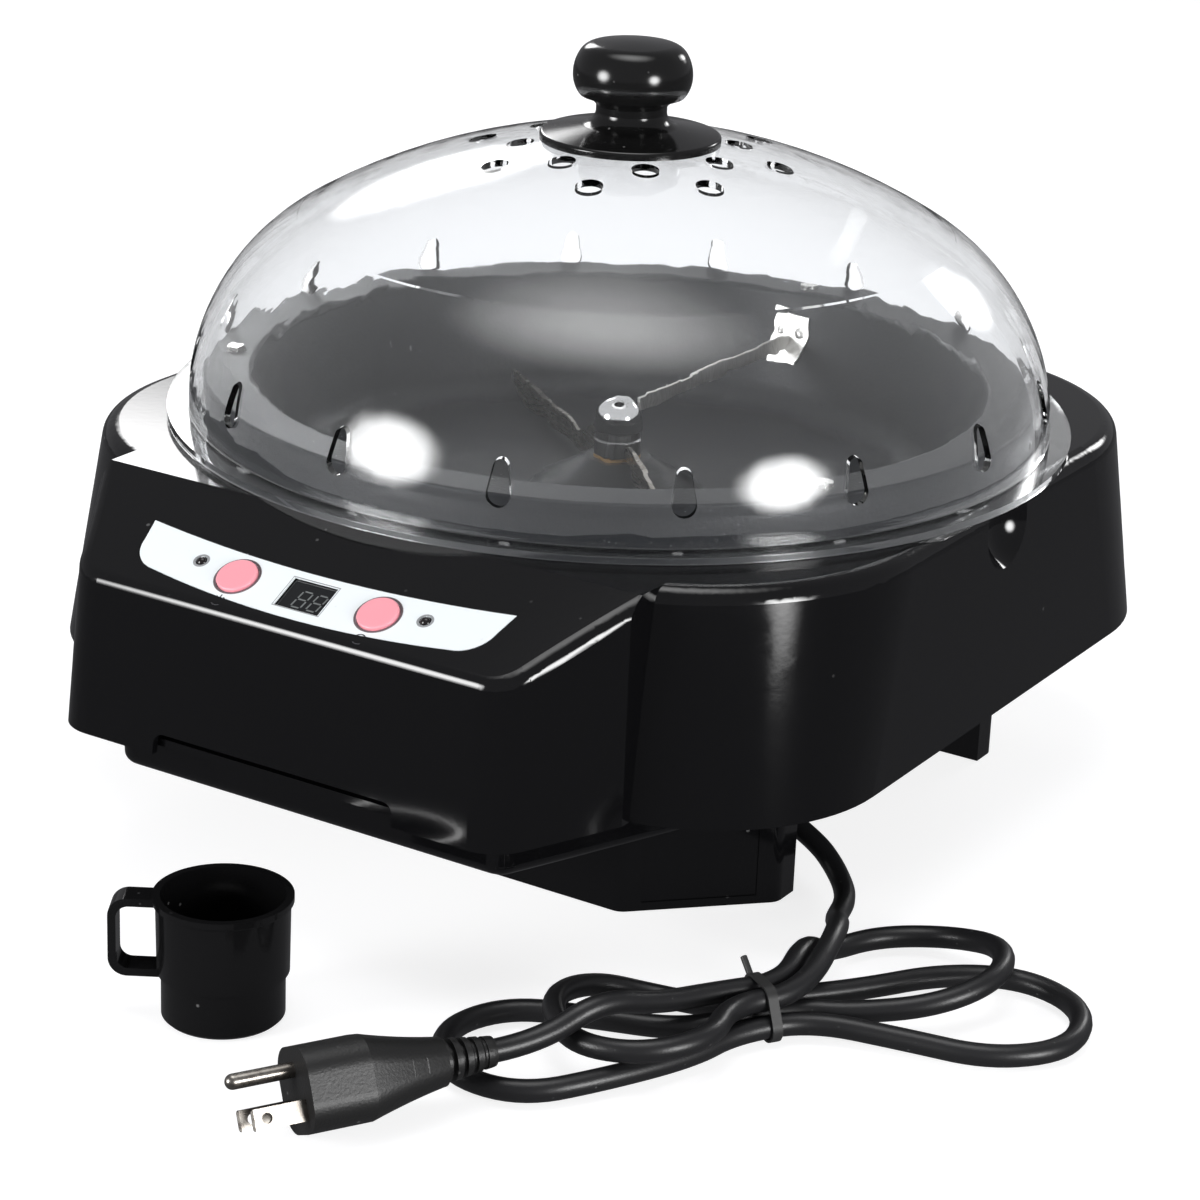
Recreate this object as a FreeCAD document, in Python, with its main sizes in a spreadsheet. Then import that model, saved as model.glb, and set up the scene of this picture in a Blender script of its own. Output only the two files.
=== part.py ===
import FreeCAD, Part
import math
import os
import Sketcher

# Countertop coffee bean roaster: a moulded housing with a control box, a raised non-stick
# pan with a turning agitator, a lift-off clear lid, a tied mains lead and a measuring cup.
# Millimetres, +Z up, front (control panel) towards -Y, origin under the agitator's shaft
# on the surface that the roaster stands on.

os.makedirs("parts", exist_ok=True)
doc = FreeCAD.newDocument("CoffeeRoaster")
sheet = doc.addObject("Spreadsheet::Sheet", "Sizes")
sheet.Label = "Sizes"
V = FreeCAD.Vector
UP = V(0, 0, 1)


class Size:
    """A number from the sheet together with the expression that gives it."""

    def __init__(self, text, number):
        self.text = text
        self.number = float(number)

    def join(self, sign, other, number):
        return Size("(%s %s %s)" % (self.text, sign, as_size(other).text), number)

    def __add__(self, other):
        return self.join("+", other, self.number + float(other))

    def __sub__(self, other):
        return self.join("-", other, self.number - float(other))

    def __mul__(self, other):
        return self.join("*", other, self.number * float(other))

    def __truediv__(self, other):
        return self.join("/", other, self.number / float(other))

    def __radd__(self, other):
        return as_size(other) + self

    def __rsub__(self, other):
        return as_size(other) - self

    def __rmul__(self, other):
        return as_size(other) * self

    def __neg__(self):
        return as_size(0) - self

    def __float__(self):
        return self.number


def as_size(value):
    return value if isinstance(value, Size) else Size("%.6g" % value, value)


row_count = 0


def size(alias, value, note):
    """One driving dimension: its note, value and alias in a row of the sheet."""
    global row_count
    row_count += 1
    sheet.set("A%d" % row_count, note)
    sheet.set("B%d" % row_count, "%g" % value)
    sheet.setAlias("B%d" % row_count, alias)
    return Size("Sizes.%s" % alias, value)


# Housing
shell_half = size("shell_half", 159, "half width of the housing at its lower edge")
shell_round = size("shell_round", 66, "corner radius of the housing at its lower edge")
shell_top_half = size("shell_top_half", 156, "half width of the housing at its top")
shell_top_round = size("shell_top_round", 88, "corner radius of the housing at its top")
shell_low = size("shell_low", 53.5, "height of the housing's lower edge")
shell_top = size("shell_top", 130, "height of the housing's top face")
shell_wall = size("shell_wall", 2.6, "housing wall")
shell_edge = size("shell_edge", 6, "round of the housing's top edge")
well_radius = size("well_radius", 133, "opening in the housing that the pan drops into")
clearance = size("clearance", 0.3, "gap between pieces that are not fixed to each other")

# Control box on the front of the housing
box_front = size("box_front", 206.5, "reach of the control box's lower front edge")
box_lean = size("box_lean", 6, "lean of the control box's front face")
box_half = size("box_half", 87, "half width of the control box at its front")
box_root_half = size("box_root_half", 106, "half width of the control box at the housing")
box_root = size("box_root", 162, "reach of the line where the control box's sides start")
box_round = size("box_round", 16, "corner radius of the control box in plan")
box_edge = size("box_edge", 5, "round of the control box's top edges")
panel_low_y = size("panel_low_y", 200.5, "reach of the sloped panel's lower edge")
panel_low_z = size("panel_low_z", 108, "height of the sloped panel's lower edge")
panel_high_y = size("panel_high_y", 150, "reach of the sloped panel's upper edge")
panel_high_z = size("panel_high_z", 133, "height of the sloped panel's upper edge")
notch_half = size("notch_half", 48, "half width of the slot in the box's lower front edge")
notch_high = size("notch_high", 7.5, "height of that slot")

# Pan
pan_mouth = size("pan_mouth", 131, "radius of the pan's mouth")
pan_rim = size("pan_rim", 148.5, "radius of the pan's rim flange")
pan_top = size("pan_top", 146, "height of the pan's rim flange")
pan_sheet = size("pan_sheet", 1.5, "pan wall")
pan_floor = size("pan_floor", 103, "height of the pan's floor by its wall")
pan_dish = size("pan_dish", 2, "fall of the pan's floor towards its cone")
pan_wall_foot = size("pan_wall_foot", 119, "radius where the pan's wall turns in")
pan_floor_edge = size("pan_floor_edge", 106, "radius of the pan's floor")
cone_foot = size("cone_foot", 32, "radius of the pan's centre cone at the floor")
cone_top = size("cone_top", 12, "radius of the pan's centre cone at its top")
cone_high = size("cone_high", 113, "height of the pan's centre cone")
rim_screw_ring = size("rim_screw_ring", 139.5, "radius of the ring of pan screws")

# Lid
lip_radius = size("lip_radius", 162, "radius of the lid's lip")
lip_thick = size("lip_thick", 2.6, "thickness of the lid's lip")
dome_radius = size("dome_radius", 154.5, "radius of the dome above its lip")
dome_rise = size("dome_rise", 99, "rise of the dome above its lip")
dome_side = size("dome_side", 78, "radius of the dome's side arc")
dome_wall = size("dome_wall", 2.4, "dome wall")
vent_count = size("vent_count", 16, "vents round the lid")
vent_rise = size("vent_rise", 18.6, "height of the vents above the lip")
vent_low = size("vent_low", 4.1, "radius of a vent's wide lower end")
vent_high = size("vent_high", 2.6, "radius of a vent's narrow upper end")
vent_span = size("vent_span", 8.6, "distance between a vent's two ends")
steam_hole = size("steam_hole", 4.8, "radius of the holes round the knob")
steam_outer = size("steam_outer", 53.7, "radius of the outer ring of holes")
steam_inner = size("steam_inner", 38.6, "radius of the inner ring of holes")
knob_flange = size("knob_flange", 32, "radius of the knob's flange")
knob_neck = size("knob_neck", 12.5, "radius of the knob's neck")
knob_head = size("knob_head", 21, "radius of the knob's head")
knob_crown = size("knob_crown", 19, "radius of the knob's crown edge")
knob_rise = size("knob_rise", 33, "height of the knob above the dome")

# Agitator
shaft_radius = size("shaft_radius", 4, "radius of the drive shaft")
shaft_gap = size("shaft_gap", 0.15, "running gap round the shaft")
hub_radius = size("hub_radius", 8.6, "radius of the agitator's hub")
hub_high = size("hub_high", 6.5, "height of the agitator's hub")
nut_radius = size("nut_radius", 9, "radius of the dome nut")
nut_high = size("nut_high", 12, "height of the dome nut")
washer_radius = size("washer_radius", 8.4, "radius of the knurled washer")
washer_thick = size("washer_thick", 3, "thickness of the knurled washer")
arm_reach = size("arm_reach", 112, "reach of the agitator's arms")
arm_thick = size("arm_thick", 1.5, "thickness of an arm's strip")
arm_deep = size("arm_deep", 8, "depth of an arm's strip")
arm_lift = size("arm_lift", 1.6, "gap between the arms and the pan")
arm_angle = size("arm_angle", -37, "direction of the front arm")
baffle_inner = size("baffle_inner", 15, "radius of the baffle's inner end")
baffle_high = size("baffle_high", 127, "height of the baffle strip's lower edge")
baffle_deep = size("baffle_deep", 5, "depth of the baffle strip")

# Pedestal, feet line and front tray
leg_half = size("leg_half", 120, "half width over the corner legs")
leg_chamfer = size("leg_chamfer", 39, "cut of the legs' outer corners")
leg_run = size("leg_run", 50, "length of a leg along each side")
waist_half = size("waist_half", 84, "half width of the pedestal between its legs")
pedestal_wall = size("pedestal_wall", 3, "pedestal wall")
plate_step = size("plate_step", 4, "height of the bottom plate above the surface")
tray_front = size("tray_front", 187.5, "reach of the tray under the control box")
tray_half = size("tray_half", 77, "half width of that tray at its front")
tray_low = size("tray_low", 36, "height of that tray's underside")

# Buttons and panel parts
button_radius = size("button_radius", 7, "radius of a button")
button_spread = size("button_spread", 28, "distance of a button from the panel's middle")
lamp_spread = size("lamp_spread", 44.5, "distance of a lamp from the panel's middle")
lamp_radius = size("lamp_radius", 1.9, "radius of an indicator lamp")
display_wide = size("display_wide", 17, "width of the display")
display_tall = size("display_tall", 12.5, "height of the display")
label_half = size("label_half", 72, "half width of the panel label at its top")
label_thick = size("label_thick", 0.5, "thickness of the panel label")

# Mains lead
lead_radius = size("lead_radius", 3.65, "radius of the mains lead")

doc.recompute()


def bind(thing, prop, value):
    """Tie a property to the sheet."""
    thing.setExpression(prop, as_size(value).text)


def move_to(thing, x=0, y=0, z=0):
    for axis, value in (("x", x), ("y", y), ("z", z)):
        bind(thing, ".Placement.Base.%s" % axis, value)


def turn_about(thing, axis, degrees):
    thing.Placement = FreeCAD.Placement(V(0, 0, 0), FreeCAD.Rotation(axis, degrees))


def cylinder(name, radius, height, x=0, y=0, z=0, axis=UP):
    made = doc.addObject("Part::Cylinder", name)
    bind(made, "Radius", radius)
    bind(made, "Height", height)
    made.Placement = FreeCAD.Placement(V(0, 0, 0), FreeCAD.Rotation(UP, axis))
    move_to(made, x, y, z)
    return made


def block(name, wide, deep, high, x=0, y=0, z=0):
    """A block centred on x and y that stands at z."""
    made = doc.addObject("Part::Box", name)
    bind(made, "Length", wide)
    bind(made, "Width", deep)
    bind(made, "Height", high)
    move_to(made, as_size(x) - as_size(wide) / 2, as_size(y) - as_size(deep) / 2, z)
    return made


def fused(name, pieces):
    made = doc.addObject("Part::MultiFuse", name)
    made.Shapes = pieces
    return made


def cut_from(name, base, tool):
    made = doc.addObject("Part::Cut", name)
    made.Base = base
    made.Tool = tool
    return made


nodes = []


def node(thing, label):
    """A finished sub-part: its label is its name in the parts folder."""
    thing.Label = label
    nodes.append(thing)
    return thing


def feature(label, shape):
    made = doc.addObject("Part::Feature", "Made_" + label)
    made.Shape = shape
    return node(made, label)


def at_angle(radius, degrees, z=0):
    """A point on a circle, counted anticlockwise from +X."""
    turn = math.radians(float(degrees))
    return V(float(radius) * math.cos(turn), float(radius) * math.sin(turn), float(z))


def plane_of(body, role):
    for item in body.Origin.OriginFeatures:
        if item.Role == role:
            return item
    raise ValueError(role)


def arc_between(start, end, radius, side):
    """The arc of a radius from start to end; side is 1 when its middle lies to the left."""
    chord = end.sub(start)
    half = chord.Length / 2
    across = V(-chord.y, chord.x, 0).normalize()
    offset = math.sqrt(max(radius * radius - half * half, 0)) * side
    middle = start.add(end).multiply(0.5).add(across.multiply(offset))
    out = start.add(end).multiply(0.5).sub(middle)
    top = middle.add(out.normalize().multiply(radius))
    return Part.Arc(start, top, end)


def outline(body, name, plane, corners):
    """A closed sketch. Each corner is (x, y) or (x, y, radius, side), an arc up to it."""
    sketch = body.newObject("Sketcher::SketchObject", name)
    sketch.AttachmentSupport = [(plane_of(body, plane), "")]
    sketch.MapMode = "FlatFace"
    points = [V(float(c[0]), float(c[1]), 0) for c in corners]
    count = len(corners)
    for i in range(count):
        corner = corners[(i + 1) % count]
        start = points[i]
        end = points[(i + 1) % count]
        if len(corner) == 4:
            sketch.addGeometry(arc_between(start, end, float(corner[2]), corner[3]), False)
        else:
            sketch.addGeometry(Part.LineSegment(start, end), False)

    def ends(i):
        """Start and end vertex numbers: FreeCAD stores arcs anticlockwise."""
        first = sketch.getPoint(i, 1)
        return (1, 2) if first.distanceToPoint(points[i]) < 1e-4 else (2, 1)

    for i in range(count):
        after = (i + 1) % count
        sketch.addConstraint(Sketcher.Constraint("Coincident", i, ends(i)[1], after, ends(after)[0]))
    for i in range(count):
        for kind, value in (("DistanceX", corners[i][0]), ("DistanceY", corners[i][1])):
            if abs(float(value)) < 1e-9:
                axis = -2 if kind == "DistanceX" else -1
                sketch.addConstraint(Sketcher.Constraint("PointOnObject", i, ends(i)[0], axis))
                continue
            number = sketch.addConstraint(
                Sketcher.Constraint(kind, -1, 1, i, ends(i)[0], float(value)))
            if isinstance(value, Size):
                sketch.setExpression("Constraints[%d]" % number, value.text)
    for i in range(count):
        corner = corners[(i + 1) % count]
        if len(corner) == 4:
            number = sketch.addConstraint(Sketcher.Constraint("Radius", i, float(corner[2])))
            if isinstance(corner[2], Size):
                sketch.setExpression("Constraints[%d]" % number, corner[2].text)
    return sketch


def turned(label, corners):
    """A body turned about the vertical axis from a half section of (radius, height)."""
    body = doc.addObject("PartDesign::Body", "Body_" + label)
    sketch = outline(body, "Section_" + label, "XZ_Plane", corners)
    spin = body.newObject("PartDesign::Revolution", "Turn_" + label)
    spin.Profile = sketch
    spin.ReferenceAxis = (sketch, ["V_Axis"])
    spin.Angle = 360
    sketch.Visibility = False
    return node(body, label)


def padded(label, corners, height, plane="XY_Plane"):
    """A body padded from an outline."""
    body = doc.addObject("PartDesign::Body", "Body_" + label)
    sketch = outline(body, "Outline_" + label, plane, corners)
    pad = body.newObject("PartDesign::Pad", "Pad_" + label)
    pad.Profile = sketch
    bind(pad, "Length", height)
    return node(body, label)


# Lid: a moulded clear dome with a lip, vents and steam holes
lip_low = shell_top + clearance
lip_high = lip_low + lip_thick
top_arc = ((dome_radius - dome_side) * (dome_radius - dome_side) + dome_rise * dome_rise
           - dome_side * dome_side) / (2 * (dome_rise - dome_side))
side_middle = dome_radius - dome_side
arc_share = top_arc / (top_arc - dome_side)
meet_x = side_middle * arc_share
meet_z = lip_high + (dome_rise - top_arc) * (1 - arc_share)
in_share = (top_arc - dome_wall) / (top_arc - dome_side)
inner_meet_x = side_middle * in_share
inner_meet_z = lip_high + (dome_rise - top_arc) * (1 - in_share)
dome_top = lip_high + dome_rise
stud_hole = as_size(2.8)
seat_gap = as_size(0.1)


def root(value):
    return Size("sqrt(%s)" % value.text, math.sqrt(value.number))


def dome_outside(radius, gap=0):
    """Height of the dome's outside at a radius near its top."""
    return dome_top - top_arc + root((top_arc + gap) * (top_arc + gap) - radius * radius)


def pocket(body, name, sketch, reversed_way):
    """A cut all the way through in one direction; it must remove material."""
    before = body.Shape.Volume
    made = body.newObject("PartDesign::Pocket", name)
    made.Profile = sketch
    made.Type = "ThroughAll"
    made.Reversed = reversed_way
    doc.recompute()
    if body.Shape.Volume > before - 1e-3:
        raise ValueError(name + " cuts nothing")
    return made


def around(body, name, features, count):
    """Repeat features round the body's vertical axis."""
    made = body.newObject("PartDesign::PolarPattern", name)
    made.Originals = features
    made.Axis = (plane_of(body, "Z_Axis"), [""])
    made.Angle = 360
    bind(made, "Occurrences", count)
    body.Tip = made
    doc.recompute()
    return made


def circle(body, name, x, y, radius, plane="XY_Plane"):
    sketch = body.newObject("Sketcher::SketchObject", name)
    sketch.AttachmentSupport = [(plane_of(body, plane), "")]
    sketch.MapMode = "FlatFace"
    sketch.addGeometry(Part.Circle(V(float(x), float(y), 0), UP, float(radius)), False)
    for kind, value in (("DistanceX", x), ("DistanceY", y)):
        if abs(float(value)) < 1e-9:
            axis = -2 if kind == "DistanceX" else -1
            sketch.addConstraint(Sketcher.Constraint("PointOnObject", 0, 3, axis))
            continue
        number = sketch.addConstraint(Sketcher.Constraint(kind, -1, 1, 0, 3, float(value)))
        sketch.setExpression("Constraints[%d]" % number, as_size(value).text)
    number = sketch.addConstraint(Sketcher.Constraint("Radius", 0, float(radius)))
    sketch.setExpression("Constraints[%d]" % number, as_size(radius).text)
    return sketch


lid_dome = turned("lid_dome", [
    (stud_hole, dome_outside(stud_hole), top_arc, 1),
    (stud_hole, dome_top - dome_wall),
    (inner_meet_x, inner_meet_z, top_arc - dome_wall, -1),
    (dome_radius - dome_wall, lip_high, dome_side - dome_wall, -1),
    (dome_radius - dome_wall, lip_low),
    (lip_radius, lip_low),
    (lip_radius, lip_high),
    (dome_radius, lip_high),
    (meet_x, meet_z, dome_side, 1),
])
doc.recompute()

# The vents are eggs with the narrow end up, cut square to the wall in the front and repeated
egg_sine = (vent_low - vent_high) / vent_span
egg_cosine = root(1 - egg_sine * egg_sine)
vent_middle = lip_high + vent_rise
low_end = vent_middle - vent_span / 2
high_end = vent_middle + vent_span / 2
egg = outline(lid_dome, "Egg_vent", "XZ_Plane", [
    (-vent_low * egg_cosine, low_end + vent_low * egg_sine),
    (as_size(0), low_end - vent_low, vent_low, 1),
    (vent_low * egg_cosine, low_end + vent_low * egg_sine, vent_low, 1),
    (vent_high * egg_cosine, high_end + vent_high * egg_sine),
    (-vent_high * egg_cosine, high_end + vent_high * egg_sine, vent_high, 1),
])
vent = pocket(lid_dome, "Vent", egg, True)
around(lid_dome, "Vents", [vent], vent_count)
half_step = 22.5
steam_count = as_size(8)
outer_hole = pocket(lid_dome, "Outer_hole",
                    circle(lid_dome, "Outer_circle", as_size(0), -steam_outer, steam_hole), True)
around(lid_dome, "Outer_holes", [outer_hole], steam_count)
inner_x = steam_inner * math.sin(math.radians(half_step))
inner_y = -steam_inner * math.cos(math.radians(half_step))
inner_hole = pocket(lid_dome, "Inner_hole",
                    circle(lid_dome, "Inner_circle", inner_x, inner_y, steam_hole), True)
around(lid_dome, "Inner_holes", [inner_hole], steam_count)
lid_turn = 17.1
turn_about(lid_dome, UP, lid_turn)

# Knob: turned plastic with a flange that follows the dome, held by a screw from below
knob_screw_radius = as_size(2)
knob_bore_top = dome_top + 14
knob_top = dome_top + knob_rise
turned("lid_knob", [
    (knob_screw_radius + 0.1, dome_outside(knob_screw_radius + 0.1, seat_gap)),
    (knob_flange, dome_outside(knob_flange, seat_gap), top_arc + seat_gap, -1),
    (knob_flange, dome_outside(knob_flange, seat_gap) + 1.8),
    (knob_flange - 1, dome_outside(knob_flange, seat_gap) + 2.8, as_size(1.2), 1),
    (knob_neck + 5, dome_top + 3.2),
    (knob_neck, dome_top + 8, as_size(5.6), -1),
    (knob_neck, dome_top + 10.5),
    (knob_head - 2.5, dome_top + 14, as_size(9), -1),
    (knob_head, dome_top + 21, as_size(11), 1),
    (knob_crown, knob_top - 4.5, as_size(14), 1),
    (knob_crown - 5, knob_top - 1, as_size(7), 1),
    (as_size(1), knob_top, as_size(110), 1),
    (as_size(0), knob_top),
    (as_size(0), knob_bore_top),
    (knob_screw_radius + 0.1, knob_bore_top),
])
screw_head = cylinder("Knob_screw_head", 4.6, 2.4, 0, 0, dome_top - dome_wall - 2.45)
screw_shank = cylinder("Knob_screw_shank", knob_screw_radius, 14, 0, 0, dome_top - dome_wall - 1)
node(fused("Knob_screw", [screw_head, screw_shank]), "knob_screw")


# Housing: a drafted rounded square with the control box grown out of its front
def rounded_square(half, corner, height):
    """A square with round corners at a height, as one closed wire."""
    flat = half - corner
    edges = []
    for i in range(4):
        start = at_angle(1, -45 + 90 * i)
        across = at_angle(1, 90 * i)
        along = at_angle(1, 90 * i + 90)
        a = across.multiply(half).add(V(along).multiply(-flat))
        b = at_angle(half, 90 * i).add(V(along).multiply(flat))
        a.z = b.z = height
        middle = at_angle(flat, 90 * i).add(V(along).multiply(flat))
        top = middle.add(at_angle(corner, 90 * i + 45))
        end = middle.add(V(along).multiply(corner))
        top.z = end.z = height
        edges.append(Part.LineSegment(a, b).toShape())
        edges.append(Part.Arc(b, top, end).toShape())
    return Part.Wire(edges)


def wall_at(height):
    """Half width and corner radius of the housing at a height."""
    share = (height - float(shell_low)) / (float(shell_top) - float(shell_low))
    half = float(shell_half) + share * (float(shell_top_half) - float(shell_half))
    corner = float(shell_round) + share * (float(shell_top_round) - float(shell_round))
    return half, corner


def housing_form(inset, low, high):
    """The housing's solid outside, or its inside when inset by the wall."""
    wires = []
    for height in (low, high):
        half, corner = wall_at(height)
        wires.append(rounded_square(half - inset, corner - inset, height))
    return Part.makeLoft(wires, True, True)


def box_outline(inset, height):
    """Plan of the control box: sides that flare to the housing, round front corners."""
    lean = float(box_lean) * (height - float(shell_low)) / (float(panel_low_z) - float(shell_low))
    front = -(float(box_front) - lean - inset)
    half = float(box_half) - lean / 3 - inset
    root_half = float(box_root_half) - inset
    root_y = -float(box_root)
    back = -100
    corner = float(box_round) - inset
    points = [V(-root_half, back, height), V(-root_half, root_y, height), V(-half, front, height),
              V(half, front, height), V(root_half, root_y, height), V(root_half, back, height)]
    edges = [Part.LineSegment(points[0], points[1]).toShape()]
    cut_in = corner * math.tan((math.pi - corner_angle(points[1], points[2], points[3])) / 2)
    left_a = toward(points[2], points[1], cut_in)
    left_b = toward(points[2], points[3], cut_in)
    right_a = toward(points[3], points[2], cut_in)
    right_b = toward(points[3], points[4], cut_in)
    edges.append(Part.LineSegment(points[1], left_a).toShape())
    edges.append(arc_in_corner(left_a, points[2], left_b, corner))
    edges.append(Part.LineSegment(left_b, right_a).toShape())
    edges.append(arc_in_corner(right_a, points[3], right_b, corner))
    edges.append(Part.LineSegment(right_b, points[4]).toShape())
    edges.append(Part.LineSegment(points[4], points[5]).toShape())
    edges.append(Part.LineSegment(points[5], points[0]).toShape())
    return Part.Wire(edges)


def corner_angle(before, corner, after):
    return before.sub(corner).getAngle(after.sub(corner))


def toward(start, end, distance):
    return start.add(end.sub(start).normalize().multiply(distance))


def arc_in_corner(start, corner, end, radius):
    """The round of a corner, tangent to its two lines at start and end."""
    inward = start.sub(corner).normalize().add(end.sub(corner).normalize()).normalize()
    half = corner_angle(start, corner, end) / 2
    middle = corner.add(V(inward).multiply(radius / math.sin(half)))
    return Part.Arc(start, middle.sub(V(inward).multiply(radius)), end).toShape()


panel_rise = float(panel_high_z) - float(panel_low_z)
panel_run = float(panel_low_y) - float(panel_high_y)
panel_tilt = math.degrees(math.atan2(panel_rise, panel_run))
PANEL = FreeCAD.Rotation(V(1, 0, 0), panel_tilt)


def panel_place(x, up, out):
    """A point of the sloped panel: across, up its slope from its lower edge, and out of it."""
    base = V(0, -float(panel_low_y), float(panel_low_z))
    return base.add(PANEL.multVec(V(x, up, out)))


def panel_slab(across, up, low_out, high_out, middle_up):
    """A block square to the panel, centred across it."""
    made = Part.makeBox(across, up, high_out - low_out, V(-across / 2, -up / 2, 0))
    made.Placement = FreeCAD.Placement(panel_place(0, middle_up, low_out), PANEL)
    return made


def panel_post(x, up, low_out, high_out, radius):
    made = Part.makeCylinder(radius, high_out - low_out)
    made.Placement = FreeCAD.Placement(panel_place(x, up, low_out), PANEL)
    return made


def box_form(inset, low):
    """The control box's solid outside, or its inside when inset by the wall."""
    high = float(shell_top) - inset
    made = Part.makeLoft([box_outline(inset, low), box_outline(inset, high)], True, True)
    return made.cut(panel_slab(400, 400, -inset, 200, 0))


def edges_on_panel(shape, front_of):
    """Edges of a shape that lie in the sloped panel and in front of a line."""
    found = []
    out = PANEL.multVec(UP)
    base = panel_place(0, 0, 0)
    for edge in shape.Edges:
        ends = [v.Point for v in edge.Vertexes]
        on_plane = all(abs(p.sub(base).dot(out)) < 1e-3 for p in ends)
        if on_plane and max(p.y for p in ends) < -front_of + 1e-3:
            found.append(edge)
    return found


wall = float(shell_wall)
housing = housing_form(0, float(shell_low), float(shell_top))
top_edges = [e for e in housing.Edges if e.BoundBox.ZMin > float(shell_top) - 1e-6]
housing = housing.makeFillet(float(shell_edge), top_edges)
control_box = box_form(0, float(shell_low))
control_box = control_box.makeFillet(float(box_edge), edges_on_panel(control_box, float(box_root)))
outside = housing.fuse(control_box)
inside_low = float(shell_low) - 1
inside = housing_form(wall, inside_low, float(shell_top) - wall).fuse(box_form(wall, inside_low))
shell = outside.cut(inside)

# Bosses inside the housing: three carry the pan, three the heat shield, four the base
boss_radius = 4.6
pan_seat = float(pan_top) - float(pan_sheet)
shield_flange = float(shell_top) - wall - 6
shield_sheet = 1.0
base_boss_spread = 117
pan_angles = (90, 210, 330)
shield_angles = (30, 150, 270)
base_angles = (45, 135, 225, 315)
base_boss_ring = base_boss_spread * math.sqrt(2)
base_plate_top = float(shell_low) + 4.5
base_plate = 2.5
pan_screw_hole = 1.8
for angle in pan_angles:
    low = float(shell_top) - wall
    shell = shell.fuse(Part.makeCylinder(boss_radius, pan_seat - low, at_angle(rim_screw_ring, angle, low)))
for angle in shield_angles:
    shell = shell.fuse(Part.makeCylinder(boss_radius, float(shell_top) - wall - shield_flange,
                                         at_angle(rim_screw_ring, angle, shield_flange)))
for angle in base_angles:
    shell = shell.fuse(Part.makeCylinder(boss_radius, float(shell_top) - wall - base_plate_top,
                                         at_angle(base_boss_ring, angle, base_plate_top)))

# Finger scoops under the lid's lip on both sides: a dent with its own wall behind it
scoop_radius = 17
scoop_out = 8
scoop_high = float(shell_top) - 9
for side in (-1, 1):
    middle = V(side * (wall_at(scoop_high)[0] + scoop_out), 0, scoop_high)
    behind = Part.makeSphere(scoop_radius + wall, middle).common(outside)
    shell = shell.fuse(behind).cut(Part.makeSphere(scoop_radius, middle))

# Openings: the pan's well, screw holes, the slot under the box's front and the panel
shell = shell.cut(Part.makeCylinder(float(well_radius), 20, V(0, 0, float(shell_top) - 10)))
for angle in pan_angles:
    shell = shell.cut(Part.makeCylinder(pan_screw_hole, 20, at_angle(rim_screw_ring, angle, pan_seat - 12)))
for angle in shield_angles:
    shell = shell.cut(Part.makeCylinder(pan_screw_hole, 7, at_angle(rim_screw_ring, angle, shield_flange - 2)))
for angle in base_angles:
    shell = shell.cut(Part.makeCylinder(pan_screw_hole, 14, at_angle(base_boss_ring, angle, base_plate_top - 2)))
slot = Part.makeBox(2 * float(notch_half), 30, float(notch_high) + 10,
                    V(-float(notch_half), -float(box_front) - 15, float(shell_low) - 10))
slot_tops = [e for e in slot.Edges if abs(e.BoundBox.XLength) < 1e-6 and abs(e.BoundBox.ZLength) < 1e-6
             and e.BoundBox.ZMin > float(shell_low)]
shell = shell.cut(slot.makeFillet(4, slot_tops))

# The panel label lies in a shallow recess on the slope
label_up = 16.5
label_deep = 25
label_bow = 7
panel_recess = 0.6
button_up = 15
display_up = 14.5


def label_form(grow, low_out, high_out):
    """Outline of the panel label: straight top edge, tucked lower corners, bowed lower edge."""
    half = float(label_half) + grow
    top = label_up + label_deep / 2 + grow
    low = label_up - label_deep / 2 - grow
    tuck = 13
    corners = [V(-half, top, 0), V(-half + 2, top - 9, 0), V(-half + tuck, low + label_bow - 2, 0),
               V(half - tuck, low + label_bow - 2, 0), V(half - 2, top - 9, 0), V(half, top, 0)]
    edges = [Part.LineSegment(corners[0], corners[1]).toShape(),
             Part.Arc(corners[1], V(-half + 4.6, low + 9.5, 0), corners[2]).toShape(),
             Part.Arc(corners[2], V(0, low, 0), corners[3]).toShape(),
             Part.Arc(corners[3], V(half - 4.6, low + 9.5, 0), corners[4]).toShape(),
             Part.LineSegment(corners[4], corners[5]).toShape(),
             Part.Arc(corners[5], V(0, top - 5, 0), corners[0]).toShape()]
    made = Part.Face(Part.Wire(edges)).extrude(V(0, 0, high_out - low_out))
    made.Placement = FreeCAD.Placement(panel_place(0, 0, low_out), PANEL)
    return made


button_hole = float(button_radius) + float(clearance)
lamp_hole = float(lamp_radius) + 0.15
window_gap = 0.2
shell = shell.cut(label_form(0.3, -panel_recess, 5))
panel_cuts = []
for side in (-1, 1):
    panel_cuts.append(panel_post(side * float(button_spread), button_up, -12, 5, button_hole))
    panel_cuts.append(panel_post(side * float(lamp_spread), button_up + 2.5, -12, 5, lamp_hole))
panel_cuts.append(panel_slab(float(display_wide) + 2 * window_gap, float(display_tall) + 2 * window_gap,
                             -12, 5, display_up))
board_out = -13.0
board_thick = 1.6
board_posts = []
for side in (-1, 1):
    post = panel_post(side * 60, label_up - 2, board_out, -wall, 3.2)
    board_posts.append(post)
    shell = shell.fuse(post).cut(panel_post(side * 60, label_up - 2, board_out - 1, -4, 1.2))
for tool in panel_cuts:
    shell = shell.cut(tool)
feature("body_shell", shell)

# Panel label with its holes
label = label_form(0, -panel_recess, -panel_recess + float(label_thick))
for tool in panel_cuts:
    label = label.cut(tool)
feature("control_overlay", label)

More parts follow.
